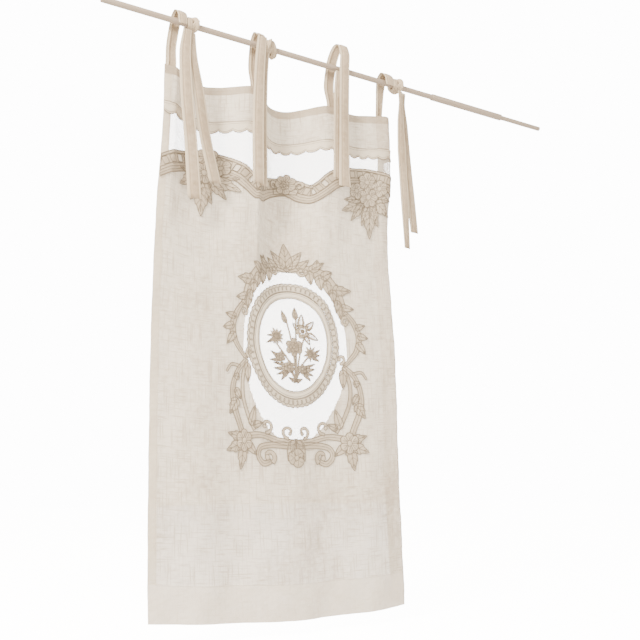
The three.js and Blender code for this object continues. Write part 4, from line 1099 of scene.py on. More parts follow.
class ThreadWork:
    """The node groups that the cloth finishes share."""

    def __init__(self) -> None:
        """Builds each group once."""
        self.weave = self.build_weave()
        self.twist = self.build_twist()
        self.unevenness = self.build_unevenness()

    def build_weave(self) -> Tree:
        """Plain weave: the absolute sine of each direction, with thicker threads here and there.

        Returns:
            The group. Height is for a bump, Slub is 1 on thick threads and Gap is 1 between threads.
        """
        kinds = {"Place": "NodeSocketVector", "Threads": "NodeSocketFloat"}
        w, source, out = new_group("plain weave", kinds, ("Height", "Slub", "Gap"))
        parts = w.parts(source.outputs["Place"])
        turns = w.math("MULTIPLY", source.outputs["Threads"], math.pi)
        lines = [w.math("ABSOLUTE", w.math("SINE", w.math("MULTIPLY", part, turns))) for part in parts[:2]]
        across_slub = w.ramp(w.noise(w.scaled(source.outputs["Place"], (22, 420, 1)), 1.0), 0.5, 0.68)
        down_slub = w.ramp(w.noise(w.scaled(source.outputs["Place"], (380, 14, 1)), 1.0), 0.5, 0.68)
        slub = w.math("MAXIMUM", across_slub, down_slub)
        height = w.math("ADD", w.math("MULTIPLY", w.math("ADD", *lines), 0.5), w.math("MULTIPLY", slub, 0.7))
        gap = w.math("MULTIPLY", *[w.math("SUBTRACT", 1.0, line) for line in lines])
        w.feed(out.inputs["Height"], height)
        w.feed(out.inputs["Slub"], slub)
        w.feed(out.inputs["Gap"], gap)
        return w.tree

    def build_twist(self) -> Tree:
        """Twisted yarn: a sine of the length along plus the way round.

        Returns:
            The group, whose Height goes from 0 to 1.
        """
        kinds = {"Place": "NodeSocketVector", "Turns": "NodeSocketFloat"}
        w, source, out = new_group("twisted yarn", kinds, ("Height",))
        parts = w.parts(source.outputs["Place"])
        slanted = w.math("ADD", parts[0], w.math("MULTIPLY", parts[1], 0.8))
        wave = w.math("SINE", w.math("MULTIPLY", slanted, source.outputs["Turns"]))
        w.feed(out.inputs["Height"], w.math("MULTIPLY_ADD", wave, 0.5, 0.5))
        return w.tree

    def build_unevenness(self) -> Tree:
        """Broad unevenness of colour over a piece: two soft noises, a large and a small one.

        Returns:
            The group, whose Tone is near 0.5.
        """
        w, source, out = new_group("unevenness", {"Place": "NodeSocketVector"}, ("Tone",))
        large = w.noise(source.outputs["Place"], 5.0, 3.0)
        small = w.noise(source.outputs["Place"], 90.0, 3.0)
        w.feed(out.inputs["Tone"], w.math("ADD", w.math("MULTIPLY", large, 0.6), w.math("MULTIPLY", small, 0.4)))
        return w.tree


def new_material(
    name: str, roughness: float = 0.5, sheen: float = 0.0, specular: float = 0.5
) -> tuple[Material, Wiring, Node]:
    """A material with its wiring and its Principled shader.

    Args:
        name: The finish's name.
        roughness: Its roughness, where nothing is fed to it.
        sheen: The strength of its fibres' sheen.
        specular: The level of its reflection.

    Returns:
        The material, its wiring and its shader.
    """
    material = bpy.data.materials.new(name)
    material.use_nodes = True
    shader = material.node_tree.nodes["Principled BSDF"]
    shader.inputs["Roughness"].default_value = roughness
    shader.inputs["Sheen Weight"].default_value = sheen
    shader.inputs["Specular IOR Level"].default_value = specular
    return material, Wiring(material.node_tree), shader


def object_place(w: Wiring) -> Socket:
    """Object coordinates, in metres."""
    return w.node("ShaderNodeTexCoord").outputs["Object"]


def add_bump(w: Wiring, shader: Node, height: Socket, strength: float, distance: float) -> None:
    """Feeds a height to a shader's normal through a bump.

    Args:
        w: The material's wiring.
        shader: The shader.
        height: The height.
        strength: The bump's strength.
        distance: What a height of 1 is, in metres.
    """
    bump = w.node("ShaderNodeBump")
    bump.inputs["Strength"].default_value = strength
    bump.inputs["Distance"].default_value = distance
    w.feed(bump.inputs["Height"], height)
    w.feed(shader.inputs["Normal"], bump.outputs[0])


@dataclass(frozen=True)
class LinenFinish:
    """Semi-sheer plain-weave linen with slubs, closer where its hem is double, and stitched along the hems."""

    pale: Row = (0.96, 0.90, 0.81, 1)
    deep: Row = (0.71, 0.62, 0.52, 1)
    slub: Row = (0.47, 0.385, 0.30, 1)
    hem: Row = (0.80, 0.71, 0.58, 1)
    lower_hem: Row = (0.95, 0.885, 0.795, 1)
    lower_hem_at: float = 1.122
    upper_hem: Row = (0.42, 0.335, 0.235, 1)
    upper_hem_at: float = 0.02
    stitch: Row = (0.52, 0.45, 0.37, 1)
    threads: float = 1150
    sheer: float = 0.84
    close: float = 0.98
    stitch_length: float = 0.0034

    def build(self, work: ThreadWork) -> Material:
        """The material: weave and slubs from the flat place, hems and stitches from the seam mark.

        Args:
            work: The shared node groups.

        Returns:
            The material.
        """
        material, w, shader = new_material("linen", 0.85, 0.25, 0.2)
        place = w.flat_place()
        weave = w.group(work.weave, Place=place, Threads=self.threads)
        tone = w.group(work.unevenness, Place=object_place(w)).outputs["Tone"]
        base = w.blend(w.ramp(tone, 0.30, 0.56), self.deep, self.pale)
        slubbed = w.blend(w.math("MULTIPLY", weave.outputs["Slub"], 0.62), base, self.slub)
        seam = w.mark("seam")
        is_hem = w.ramp(seam, 0.2, -0.2)
        parts = w.parts(place)
        is_lower = w.ramp(parts[1], self.lower_hem_at, self.lower_hem_at + 0.004)
        is_upper = w.ramp(parts[1], self.upper_hem_at + 0.004, self.upper_hem_at)
        hem = w.blend(is_upper, w.blend(is_lower, self.hem, self.lower_hem), self.upper_hem)
        hemmed = w.blend(w.math("MULTIPLY", is_hem, 0.75), slubbed, hem)
        near = w.ramp(w.math("ABSOLUTE", w.math("ADD", seam, 1.6)), 0.75, 0.3)
        along = w.math("ADD", parts[0], parts[1])
        dash = w.math("SINE", w.math("MULTIPLY", along, 2 * math.pi / self.stitch_length))
        stitched = w.math("MULTIPLY", near, w.ramp(dash, -0.3, 0.1))
        w.feed(shader.inputs["Base Color"], w.blend(w.math("MULTIPLY", stitched, 0.7), hemmed, self.stitch))
        open_weave = w.ramp(w.noise(w.scaled(place, (9, 14, 1)), 1.0), 0.35, 0.7, 0.0, 0.09)
        body = w.math("ADD", self.sheer, w.math("MULTIPLY", weave.outputs["Slub"], 0.14))
        body = w.math("SUBTRACT", body, w.math("ADD", open_weave, w.math("MULTIPLY", weave.outputs["Gap"], 0.3)))
        alpha = w.math("ADD", body, w.math("MULTIPLY", is_hem, self.close - self.sheer), is_clamped=True)
        w.feed(shader.inputs["Alpha"], alpha)
        fold = w.math("MULTIPLY", w.ramp(w.math("ABSOLUTE", seam), 1.2, 0.0), 1.6)
        height = w.math("SUBTRACT", w.math("ADD", weave.outputs["Height"], fold), stitched)
        add_bump(w, shader, height, 0.5, 0.0005)
        return material


@dataclass(frozen=True)
class LaceFinish:
    """Taped or embroidered work: close-woven plates, and cords in a deeper colour with their yarn's twist."""

    name: str
    plate: Row
    shade: Row
    cord: Row
    threads: float = 1000
    twist: float = 2100
    sheen: float = 0.2

    def build(self, work: ThreadWork) -> Material:
        """The material: plates and cords by the cord mark, each plate with its own tone.

        Args:
            work: The shared node groups.

        Returns:
            The material.
        """
        material, w, shader = new_material(self.name, 0.75, self.sheen, 0.25)
        place = w.flat_place()
        weave = w.group(work.weave, Place=place, Threads=self.threads)
        twist = w.group(work.twist, Place=place, Turns=self.twist)
        tone = w.group(work.unevenness, Place=object_place(w)).outputs["Tone"]
        own = w.math("MULTIPLY_ADD", w.mark("tone"), 0.3, w.ramp(tone, 0.34, 0.66))
        cloth = w.blend(own, self.shade, self.plate)
        cloth = w.blend(w.math("MULTIPLY", weave.outputs["Slub"], 0.3), cloth, self.shade)
        yarn = w.blend(w.math("MULTIPLY_ADD", twist.outputs["Height"], 0.25, 0.0), self.cord, self.plate)
        is_cord = w.mark("cord")
        w.feed(shader.inputs["Base Color"], w.blend(is_cord, cloth, yarn))
        plain = w.math("MULTIPLY", weave.outputs["Height"], w.math("SUBTRACT", 1.0, is_cord))
        height = w.math("ADD", plain, w.math("MULTIPLY", twist.outputs["Height"], is_cord))
        add_bump(w, shader, height, 0.6, 0.0004)
        return material


# name, then the colours of the plates, of their shade and of the cords
LACE_FINISHES = (
    LaceFinish("lace", (0.66, 0.585, 0.475, 1), (0.53, 0.455, 0.355, 1), (0.21, 0.168, 0.12, 1)),
    LaceFinish("band", (0.91, 0.84, 0.72, 1), (0.84, 0.765, 0.64, 1), (0.28, 0.215, 0.15, 1)),
    LaceFinish("wreath", (0.75, 0.69, 0.585, 1), (0.66, 0.59, 0.49, 1), (0.21, 0.17, 0.125, 1)),
    LaceFinish("embroidery", (0.60, 0.52, 0.41, 1), (0.44, 0.36, 0.27, 1), (0.15, 0.115, 0.08, 1), twist=3200),
    LaceFinish("ring", (0.94, 0.875, 0.76, 1), (0.85, 0.78, 0.665, 1), (0.21, 0.17, 0.125, 1)),
)


@dataclass(frozen=True)
class NetFinish:
    """The net's fine yarn: pale, with a slight unevenness and twist."""

    pale: Row = (0.86, 0.82, 0.76, 1)
    deep: Row = (0.70, 0.65, 0.58, 1)

    def build(self, work: ThreadWork) -> Material:
        """The material of the net's strands.

        Args:
            work: The shared node groups.

        Returns:
            The material.
        """
        material, w, shader = new_material("net", 0.8, 0.15)
        tone = w.group(work.unevenness, Place=object_place(w)).outputs["Tone"]
        twist = w.group(work.twist, Place=w.flat_place(), Turns=3600.0)
        w.feed(shader.inputs["Base Color"], w.blend(w.ramp(tone, 0.38, 0.62), self.deep, self.pale))
        add_bump(w, shader, twist.outputs["Height"], 0.4, 0.0002)
        return material


@dataclass(frozen=True)
class RibbonFinish:
    """Woven cotton ribbon: ribs, a paler turned edge, painted shade in creases, a darker line near one edge."""

    pale: Row = (0.60, 0.50, 0.375, 1)
    deep: Row = (0.43, 0.34, 0.24, 1)
    edge: Row = (0.80, 0.705, 0.55, 1)
    shade: Row = (0.40, 0.30, 0.20, 1)
    ribs: float = 5200

    def build(self, work: ThreadWork) -> Material:
        """The material: ribs along the length, from the flat place whose first part is across the ribbon.

        Args:
            work: The shared node groups.

        Returns:
            The material.
        """
        material, w, shader = new_material("ribbon", 0.8, 0.25, 0.2)
        place = w.flat_place()
        weave = w.group(work.weave, Place=place, Threads=1500.0)
        tone = w.group(work.unevenness, Place=object_place(w)).outputs["Tone"]
        parts = w.parts(place)
        rib = w.math("MULTIPLY_ADD", w.math("SINE", w.math("MULTIPLY", parts[0], self.ribs)), 0.5, 0.5)
        ground = w.blend(w.ramp(tone, 0.36, 0.64), self.deep, self.pale)
        ground = w.blend(w.math("MULTIPLY", rib, 0.12), ground, self.deep)
        edged = w.blend(w.math("MULTIPLY", w.mark("edge"), 0.75), ground, self.edge)
        # Painted shade: line mark darkens the crease and the knots' pleat hollows, plus a line near one edge.
        w.feed(shader.inputs["Base Color"], w.blend(w.math("MULTIPLY", w.mark("line"), 0.85), edged, self.shade))
        shader.inputs["Alpha"].default_value = 0.97
        height = w.math("ADD", w.math("MULTIPLY", weave.outputs["Height"], 0.6), rib)
        add_bump(w, shader, w.math("SUBTRACT", height, w.mark("line")), 0.5, 0.0004)
        return material


@dataclass(frozen=True)
class RodFinish:
    """Satin paint on a metal rod, with a slight orange peel and faint wear."""

    paint: Row = (0.39, 0.32, 0.26, 1)
    worn: Row = (0.48, 0.415, 0.35, 1)

    def build(self, work: ThreadWork) -> Material:
        """The material of the rod's three pieces.

        Args:
            work: The shared node groups.

        Returns:
            The material.
        """
        material, w, shader = new_material("rod_paint")
        place = object_place(w)
        tone = w.group(work.unevenness, Place=place).outputs["Tone"]
        rubbed = w.ramp(w.noise(w.scaled(place, (3, 60, 60)), 1.0, 4.0), 0.48, 0.8)
        w.feed(shader.inputs["Base Color"], w.blend(w.math("MULTIPLY", rubbed, 0.6), self.paint, self.worn))
        w.feed(shader.inputs["Roughness"], w.ramp(tone, 0.3, 0.7, 0.34, 0.5))
        shader.inputs["Coat Weight"].default_value = 0.15
        add_bump(w, shader, w.noise(place, 900.0, 2.0), 0.15, 0.0002)
        return material


@dataclass(frozen=True)
class LinenPanel:
    """The panel's linen: one sheet on the hung cloth, cut away behind the two nets, with hems on all sides."""

    cloth: HungCloth
    openings: Openings
    cell: float = 3.5
    top_hem: float = 20
    side_hem: float = 18
    bottom_hem: float = 75
    hem_lift: float = 0.35

    def seam(self, flat: Array) -> Array:
        """The distance to the nearest hem line, less than zero in a hem.

        Args:
            flat: Places of the flat cloth.

        Returns:
            The distances.
        """
        across, down = flat[..., 0], flat[..., 1]
        sides = [across - self.side_hem, self.cloth.width - self.side_hem - across]
        ends = [down - self.top_hem, self.cloth.length - self.bottom_hem - down]
        return np.min([*sides, *ends], axis=0)

    def build(self) -> Piece:
        """The sheet: a grid of flat cells hung on the cloth, less the cells inside an opening.

        Points within half a cell of an opening's edge are moved onto it, so the cut is smooth.

        Returns:
            The linen's object.
        """
        columns, rows = (round(size / self.cell) + 1 for size in (self.cloth.width, self.cloth.length))
        across, down = np.linspace(0, self.cloth.width, columns), np.linspace(0, self.cloth.length, rows)
        flat = np.stack(np.meshgrid(across, down), -1).reshape(-1, 2)
        near = np.flatnonzero(np.abs(self.openings.gap(flat)) < 0.56 * self.cell)
        for _ in range(3):
            here = flat[near]
            gap = self.openings.gap(here)
            steps = [self.openings.gap(here + np.array(d)) - gap for d in ((0.05, 0), (0, 0.05))]
            slope = np.stack(steps, -1) / 0.05
            flat[near] = here - gap[:, None] * slope / np.maximum((slope**2).sum(-1, keepdims=True), 1e-6)
        gap = self.openings.gap(flat)
        faces = grid_faces(rows, columns)[:, [0, 3, 2, 1]]
        faces = faces[gap[faces].mean(1) > 0.05]
        seam = self.seam(flat)
        lift = self.hem_lift * smoothstep(-seam, -0.5, 2)
        used, faces = np.unique(faces, return_inverse=True)
        points = self.cloth.place(flat[used], lift[used])
        patch = Patch(points, faces.reshape(-1, 4), flat[used], {"seam": seam[used]})
        return mesh_of("linen_cloth", [patch])

    def cut_area(self) -> float:
        """The linen's flat area in square metres, less its two openings, counted on a 2 mm grid.

        Returns:
            The area.
        """
        across = np.arange(1, self.cloth.width, 2)
        down = np.arange(1, self.cloth.length, 2)
        flat = np.stack(np.meshgrid(across, down), -1)
        return float((self.openings.gap(flat) > 0).sum()) * 4 * MM * MM


@dataclass(frozen=True)
class NetInset:
    """A net of fine yarn in diamonds, whose strands run on under the edge of its opening."""

    cloth: HungCloth
    pitch: float = 3.0
    yarn: float = 0.85
    lap: float = 4
    lift: float = -0.35

    def build(self, name: str, gap_of: Callable[[Array, Array], Array], box: Row) -> Piece:
        """Two families of slanting strands, each a narrow ribbon from crossing to crossing.

        Crossings are the points of a lattice whose column and row numbers have an even sum. One family joins each to
        its neighbour on the lower right, the other to the one on the upper right.

        Args:
            name: The piece's name.
            gap_of: The distance to the opening's edge at places across and down.
            box: The lattice's left, right, top and bottom.

        Returns:
            The net's object.
        """
        half = self.pitch / 2
        left, right, top, bottom = box
        columns, rows = int((right - left) / half) + 1, int((bottom - top) / half) + 1
        j, i = np.meshgrid(np.arange(columns), np.arange(rows))
        flat = np.stack([left + half * j, top + half * i], -1)
        is_crossing = ((i + j) % 2 == 0) & (gap_of(flat[..., 0], flat[..., 1]) < self.lap)
        patches = []
        for fall in (1, -1):
            start = np.argwhere(is_crossing)
            stop = start + np.array([fall, 1])
            inside = (stop >= 0).all(1) & (stop < [rows, columns]).all(1)
            start, stop = start[inside], stop[inside]
            joined = is_crossing[stop[:, 0], stop[:, 1]]
            start, stop = (ends[joined, 0] * columns + ends[joined, 1] for ends in (start, stop))
            used, ends = np.unique(np.concatenate([start, stop]), return_inverse=True)
            middle = flat.reshape(-1, 2)[used]
            side = np.array([fall, -1.0]) / math.sqrt(2) * self.yarn / 2
            edges = np.stack([middle - side, middle, middle + side], 1).reshape(-1, 2)
            lift = self.lift + np.tile([0, self.yarn / 2, 0], len(middle)) + 0.1 * fall
            a, b = 3 * ends[: len(start)], 3 * ends[len(start) :]
            quads = [np.stack([a + k, a + k + 1, b + k + 1, b + k], -1) for k in (0, 1)]
            faces = np.concatenate(quads)
            first, second, fourth = (edges[faces[:, k]] for k in (0, 1, 3))
            if np.cross(second - first, fourth - first).sum() > 0:
                faces = faces[:, ::-1]
            patches.append(Patch(self.cloth.place(edges, lift), faces, edges))
        return mesh_of(name, patches)


@dataclass(frozen=True)
class ScallopedBand:
    """The flat band over the top join: a straight upper edge and a scalloped lower one."""

    width: float = 670
    top: float = 88
    height: float = 21
    scallop: float = 7
    scallops: int = 23
    fullness: float = 0.7
    end: float = 1

    def lower(self, across: Array) -> Array:
        """The lower edge: half a sine a scallop, to a power that makes it full."""
        share = (across / self.width * self.scallops) % 1
        return self.top + self.height + self.scallop * np.sin(math.pi * share) ** self.fullness

    def motif(self) -> Motif:
        """The band, its folded upper edge, its scalloped cord and the finer line within.

        Returns:
            The motif.
        """
        across = np.linspace(self.end, self.width - self.end, 14 * self.scallops + 1)
        lower = self.lower(across)
        share = np.linspace(0, 1, 8)
        down = self.top + share[None, :] * (lower - self.top)[:, None]
        flat = np.stack(np.broadcast_arrays(across[:, None], down), -1)
        crown = np.broadcast_to(0.9 * np.exp(-((share / 0.2) ** 2)), flat.shape[:2]).copy()
        fold, fold_stitch, scallop_stitch = self.top + 0.6, self.top + 5.4, lower - 4.6
        lines = ((fold, 1.1, 0.5), (fold_stitch, 0.4, 0.3), (lower, 1.2, 0.4), (scallop_stitch, 0.45, 0.3))
        cords = [Cord(np.stack(np.broadcast_arrays(across, at), -1), radius, rise) for at, radius, rise in lines]
        return Motif([Plate(flat, crown)], cords)


SPRAY_LEAVES: tuple[Row, ...] = (
    (2, 6, 0, -95, 46), (0, 4, 26, -62, 30), (2, 4, -27, -60, 30), (14, 8, 90, -30, 34), (20, 2, 58, -50, 26),
    (24, 10, 84, 2, 24), (-12, 8, -58, -34, 32), (-16, 14, -60, 8, 24),
)
SPRAY_FLOWERS: tuple[Row, ...] = ((-26, 40, 23, 6), (12, 56, 26, 6), (44, 30, 22, 5), (6, 16, 28, 7))


def spray_motif() -> Motif:
    """A spray: a large toothed leaf that hangs down, leaves to each side and four round flowers over them.

    Returns:
        The motif.
    """
    motif = Motif()
    for n, row in enumerate(SPRAY_LEAVES):
        motif.add(leaf(row, teeth=4 if n == 0 else 3, veins=5 if n == 0 else 4), 0.25 * (len(SPRAY_LEAVES) - n) / 4)
    for n, (x, y, radius, petals) in enumerate(SPRAY_FLOWERS):
        motif.add(flower(x, y, radius, int(petals)), 0.9 + 0.2 * n)
    return motif


def shell_motif() -> Motif:
    """The border's shell: a fan of round lobes over a low foot, with a volute at each side.

    Returns:
        The motif.
    """
    motif = Motif()
    motif.add(tape(((-29, -14, 12), (0, -8, 16), (29, -14, 12)), 8, is_lined=True))
    for side in (-1, 1):
        start = math.pi if side > 0 else 0.0
        motif.add(volute(side * 33, 2, 11, start, side * -1.5 * math.pi, 7), 0.3)
    motif.add(flower(0, 8, 27, 7), 0.6)
    return motif.add(flower(0, 6, 12, 5, 0.3), 1.4)


@dataclass(frozen=True)
class MedallionFrame:
    """The scroll frame round the medallion. Tables give its right half, from the oval's centre."""

    tapes: tuple[tuple[Row, ...], ...] = (
        ((0, 182, 12), (34, 186, 16), (84, 162, 24), (122, 118, 22), (140, 74, 14)),
        ((138, 80, 10), (160, 56, 14), (174, 22, 15), (166, -12, 12), (144, -38, 10), (128, -50, 10)),
        ((128, -50, 10), (156, -74, 11), (172, -110, 12), (170, -152, 14), (152, -196, 14), (138, -226, 12)),
        ((128, -52, 9), (142, -86, 9), (144, -128, 9), (128, -172, 9), (108, -204, 9)),
        ((-2, -226, 15), (40, -222, 13), (84, -214, 12), (128, -218, 14)),
        ((20, -232, 14), (58, -232, 13), (90, -240, 12), (98, -258, 12), (84, -274, 12), (64, -268, 11)),
        ((152, -68, 7), (176, -64, 6), (190, -80, 5)),
    )
    leaves: tuple[Row, ...] = (
        (26, 184, 52, 206, 20), (52, 178, 86, 196, 20), (78, 160, 108, 174, 22), (106, 130, 160, 134, 28),
        (128, 92, 164, 88, 18), (118, 108, 128, 60, 24), (164, 42, 194, 50, 16), (170, 24, 200, 18, 18),
        (168, 8, 190, -20, 18), (128, -58, 126, -104, 20), (160, -138, 182, -172, 26), (120, -196, 104, -150, 20),
        (140, -224, 186, -212, 24), (144, -232, 190, -250, 28), (142, -236, 152, -290, 30),
        (132, -232, 102, -258, 20), (50, 178, 54, 143, 20), (72, 166, 78, 128, 22), (90, 152, 97, 114, 22),
        (106, 132, 109, 98, 22), (120, 108, 116, 78, 18), (66, 180, 70, 204, 18), (154, -92, 172, -88, 16),
        (166, -116, 150, -140, 16), (112, -196, 84, -186, 16),
    )
    volutes: tuple[Row, ...] = (
        (34, 176, 11, 0.4, -5, 7), (138, 56, 12, 1.2, 5, 7), (122, -34, 11, 4.6, 5, 7), (20, -202, 15, 4.7, 5.4, 7),
        (74, -192, 16, 4.9, -5.2, 7), (68, -258, 15, 4.2, -4.6, 10),
    )
    corner_flower: Row = (140, -228, 24, 6)
    middle_leaves: tuple[Row, ...] = (
        (0, 178, 0, 252, 34), (-4, 186, -38, 228, 26), (4, 186, 38, 228, 26), (0, -216, 0, -268, 34),
        (-2, -220, -22, -266, 28), (2, -220, 22, -266, 28),
    )
    heart: Row = (0, -258, 22, 3)

    def half(self) -> Motif:
        """The right half: tapes below, leaves over them, then volutes and the corner flower.

        Returns:
            The motif, from the oval's centre.
        """
        motif = Motif()
        for n, rows in enumerate(self.tapes):
            motif.add(tape(rows, 6, is_lined=max(row[2] for row in rows) > 12), 0.1 * (n % 3))
        for n, row in enumerate(self.leaves):
            is_broad = row[4] >= 24
            motif.add(leaf(row, teeth=3 if is_broad else 0, veins=3 if is_broad else 2), 0.4 + 0.12 * (n % 3))
        for n, row in enumerate(self.volutes):
            motif.add(volute(*row), 0.75 + 0.1 * (n % 2))
        return motif.add(flower(*self.corner_flower[:3], int(self.corner_flower[3])), 1.2)

    def middle(self) -> Motif:
        """The crown of leaves on top and the tulip at the foot.

        Returns:
            The motif, from the oval's centre.
        """
        motif = Motif()
        for n, row in enumerate(self.middle_leaves):
            motif.add(leaf(row, veins=4), 0.5 + 0.15 * (n % 3 == 0))
        return motif.add(flower(*self.heart[:3], int(self.heart[3])), 0.9)

    def motifs(self, across: float, down: float) -> list[Motif]:
        """The frame at its place of the flat cloth.

        Args:
            across: The oval's centre across the cloth.
            down: The centre down it.

        Returns:
            The right half, the left half and the middle.
        """
        half = self.half()
        left = self.half()
        for part in left.plates:
            part.flat = self.drawn_in(part.flat)
        for part in left.cords:
            part.line = self.drawn_in(part.line)
        return [half.placed(across, down), left.placed(across, down, True), self.middle().placed(across, down)]

    def drawn_in(self, flat: Array) -> Array:
        """The left half's places, drawn in towards the middle."""
        share = left_share(np.abs(flat[..., 0]))
        return flat * np.stack([share, np.ones_like(share)], -1)


def oval(width: float, height: float, reach: Array, steps: int) -> Array:
    """Points round an oval of half width and half height, at shares of its reach."""
    angle = np.linspace(0, 2 * math.pi, steps, endpoint=False)
    return np.stack([reach * width * np.cos(angle), reach * height * np.sin(angle)], -1)


def closed(grid: Array) -> Array:
    """A grid with its first column once more at its end."""
    return np.concatenate([grid, grid[:, :1]], 1)


@dataclass(frozen=True)
class BraidedWreath:
    """The wreath: an oval band with a scalloped outer edge, and a yarn that loops over itself along its middle.

    The yarn's reach is a cosine of sixty periods and its way round is the angle plus a sine of the same period.
    """

    width: float = 118
    height: float = 147
    inner: float = 0.865
    lobes: int = 60
    loop: float = 2.1
    swing: float = 0.036
    yarn: float = 0.75
    scallop: float = 0.018
    braid_outer: float = 0.985
    steps: int = 600

    def motif(self) -> Motif:
        """The band, its edges' cords and its braid.

        Returns:
            The motif.
        """
        angle = np.linspace(0, 2 * math.pi, self.steps, endpoint=False)
        outer = 1 - self.scallop * (1 - np.abs(np.sin(self.lobes * angle / 2)) ** 0.7)
        share = np.linspace(0, 1, 6)[:, None]
        reach = self.inner + share * (outer - self.inner)
        flat = oval(self.width, self.height, reach, self.steps)
        rise = np.broadcast_to(0.5 * np.sin(math.pi * share), flat.shape[:2])
        motif = Motif([Plate(closed(flat), closed(rise))])
        motif.cords.append(Cord(oval(self.width, self.height, outer, self.steps), 1.0, 0.5, True))
        motif.cords.append(Cord(oval(self.width, self.height, self.inner * np.ones(180), 180), 0.9, 0.5, True))
        centre = (self.inner + self.braid_outer) / 2
        turn = np.linspace(0, 2 * math.pi, 16 * self.lobes, endpoint=False)
        wave = self.lobes * turn
        way = turn + self.loop * np.sin(wave) / self.lobes
        reach = centre + self.swing * np.cos(wave)
        line = np.stack([reach * self.width * np.cos(way), reach * self.height * np.sin(way)], -1)
        motif.cords.append(Cord(line, self.yarn, 0.9 + 0.6 * np.sin(wave), True))
        return motif


@dataclass(frozen=True)
class SmoothRing:
    """The smooth oval band inside the wreath: a crowned tape between two double cords."""

    width: float = 100.5
    height: float = 126
    inner: float = 0.872
    steps: int = 160

    def motif(self) -> Motif:
        """The band and its cords.

        Returns:
            The motif.
        """
        share = np.linspace(0, 1, 7)[:, None]
        flat = oval(self.width, self.height, self.inner + share * (1 - self.inner) * np.ones(self.steps), self.steps)
        rise = np.broadcast_to(1.3 * np.sin(math.pi * share), flat.shape[:2])
        motif = Motif([Plate(closed(flat), closed(rise))])
        for reach, radius, height in ((1.0, 1.0, 0.5), (self.inner, 1.0, 0.5), (0.967, 0.5, 1.0), (0.9, 0.5, 1.0)):
            line = oval(self.width, self.height, reach * np.ones(self.steps), self.steps)
            motif.cords.append(Cord(line, radius, height, True))
        return motif


@dataclass(frozen=True)
class Bouquet:
    """The embroidered bouquet: stems from one foot, with flowers and leaves along them, from the oval's centre."""

    foot: Row = (4, -88)
    stems: tuple[Row, ...] = (
        (-52, 4), (-46, -34), (-18, 62), (10, 74), (40, 44), (44, -22), (4, -4), (-16, -52), (22, -56),
    )
    flowers: tuple[Row, ...] = (
        (-44, 14, 19, 9), (0, -8, 22, 6), (42, -22, 18, 8), (-34, -32, 12, 6), (-13, -54, 14, 6), (20, -58, 12, 6),
    )
    open_flower: Row = (24, 30, 17, 5)
    open_heart: float = 4.6
    centre: Row = (0, -8, 12, 5)
    leaves: tuple[Row, ...] = (
        (-18, 48, -26, 78, 13), (8, 58, 8, 88, 15), (-30, 20, -70, -6, 11), (-36, 18, -68, 12, 8),
        (-36, -40, -62, -42, 8), (-10, -52, -54, -47, 8), (-14, -62, -45, -74, 8), (46, -26, 68, -13, 8),
        (46, -30, 66, -40, 8), (24, -56, 55, -46, 8), (26, -64, 50, -74, 8), (-34, -36, -60, -22, 10),
        (-14, -58, -52, -60, 10), (-16, -62, -34, -86, 10), (44, -28, 68, -26, 11), (24, -62, 54, -58, 10),
        (22, -64, 42, -86, 10), (4, -88, -16, -78, 9), (4, -88, 22, -80, 9),
    )
    open_leaves: tuple[Row, ...] = (
        (20, 40, 25, 72, 18), (34, 34, 54, 54, 17), (36, 24, 64, 9, 15), (12, 36, 0, 50, 10), (30, 18, 42, -2, 11),
    )

    def petal_ring(self, x: float, y: float, radius: float, petals: int) -> Motif:
        """A daisy: narrow satin petals from its heart outwards, and a round heart.

        Args:
            x: The centre's x.
            y: The centre's y.
            radius: The petals' reach.
            petals: Their number, less two.

        Returns:
            The daisy.
        """
        motif = Motif()
        for n, way in enumerate(np.linspace(0.3, 0.3 + 2 * math.pi, petals + 2, endpoint=False)):
            ahead = np.array([math.cos(way), math.sin(way)])
            reach = radius * (1.12 if n % 2 else 0.98)
            foot, tip = np.array([x, y]) + 0.2 * radius * ahead, np.array([x, y]) + reach * ahead
            motif.add(leaf((*foot, *tip, 0.36 * radius), veins=0, cord=0.4))
        return motif.add(flower(x, y, 0.34 * radius, 5, 0.1, 0.5), 0.7)

    def outlined(self) -> Motif:
        """The flower and leaves that are worked in outline alone, with the net open between their edges.

        Returns:
            The motif.
        """
        drawn = Motif()
        for row in self.open_leaves:
            shape = leaf(row, veins=1, cord=0.9)
            plate = shape.plates[0]
            edges = (slice(0, 3), slice(-3, None))
            sides = [Plate(plate.flat[:, edge], plate.rise[:, edge]) for edge in edges]
            drawn.add(Motif(sides, shape.cords), 0.3)
        x, y, radius, petals = self.open_flower
        shape = flower(x, y, radius, int(petals), 0.3, 0.9)
        plate = shape.plates[0]
        rim = [closed(part[-4:]) for part in (plate.flat, plate.rise)]
        drawn.add(flower(x, y, self.open_heart, 5, 0.1, 0.6), 0.3)
        return drawn.add(Motif([Plate(*rim)], shape.cords), 0.3)

    def motif(self) -> Motif:
        """Stems, leaves and flowers, laid over each other in that order.

        Returns:
            The motif.
        """
        motif = Motif()
        foot = np.array(self.foot, float)
        for x, y in self.stems:
            bend = foot + (np.array([x, y]) - foot) * np.array([0.35, 0.55])
            motif.add(tape([(*foot, 2.6), (*bend, 3.4), (x, y, 3.0)], 6, 0.55))
        for row in self.leaves:
            motif.add(leaf(row, veins=3, cord=0.75), 0.35)
        for n, (x, y, radius, petals) in enumerate(self.flowers):
            kind = self.petal_ring if petals > 6 else flower
            depth = {} if petals > 6 else {"depth": 0.3, "cord": 0.85}
            motif.add(kind(x, y, radius, int(petals), **depth), 0.6 + 0.1 * n)
        motif.add(self.outlined())
        return motif.add(flower(*self.centre[:3], int(self.centre[3]), 0.25, 0.85), 1.5)


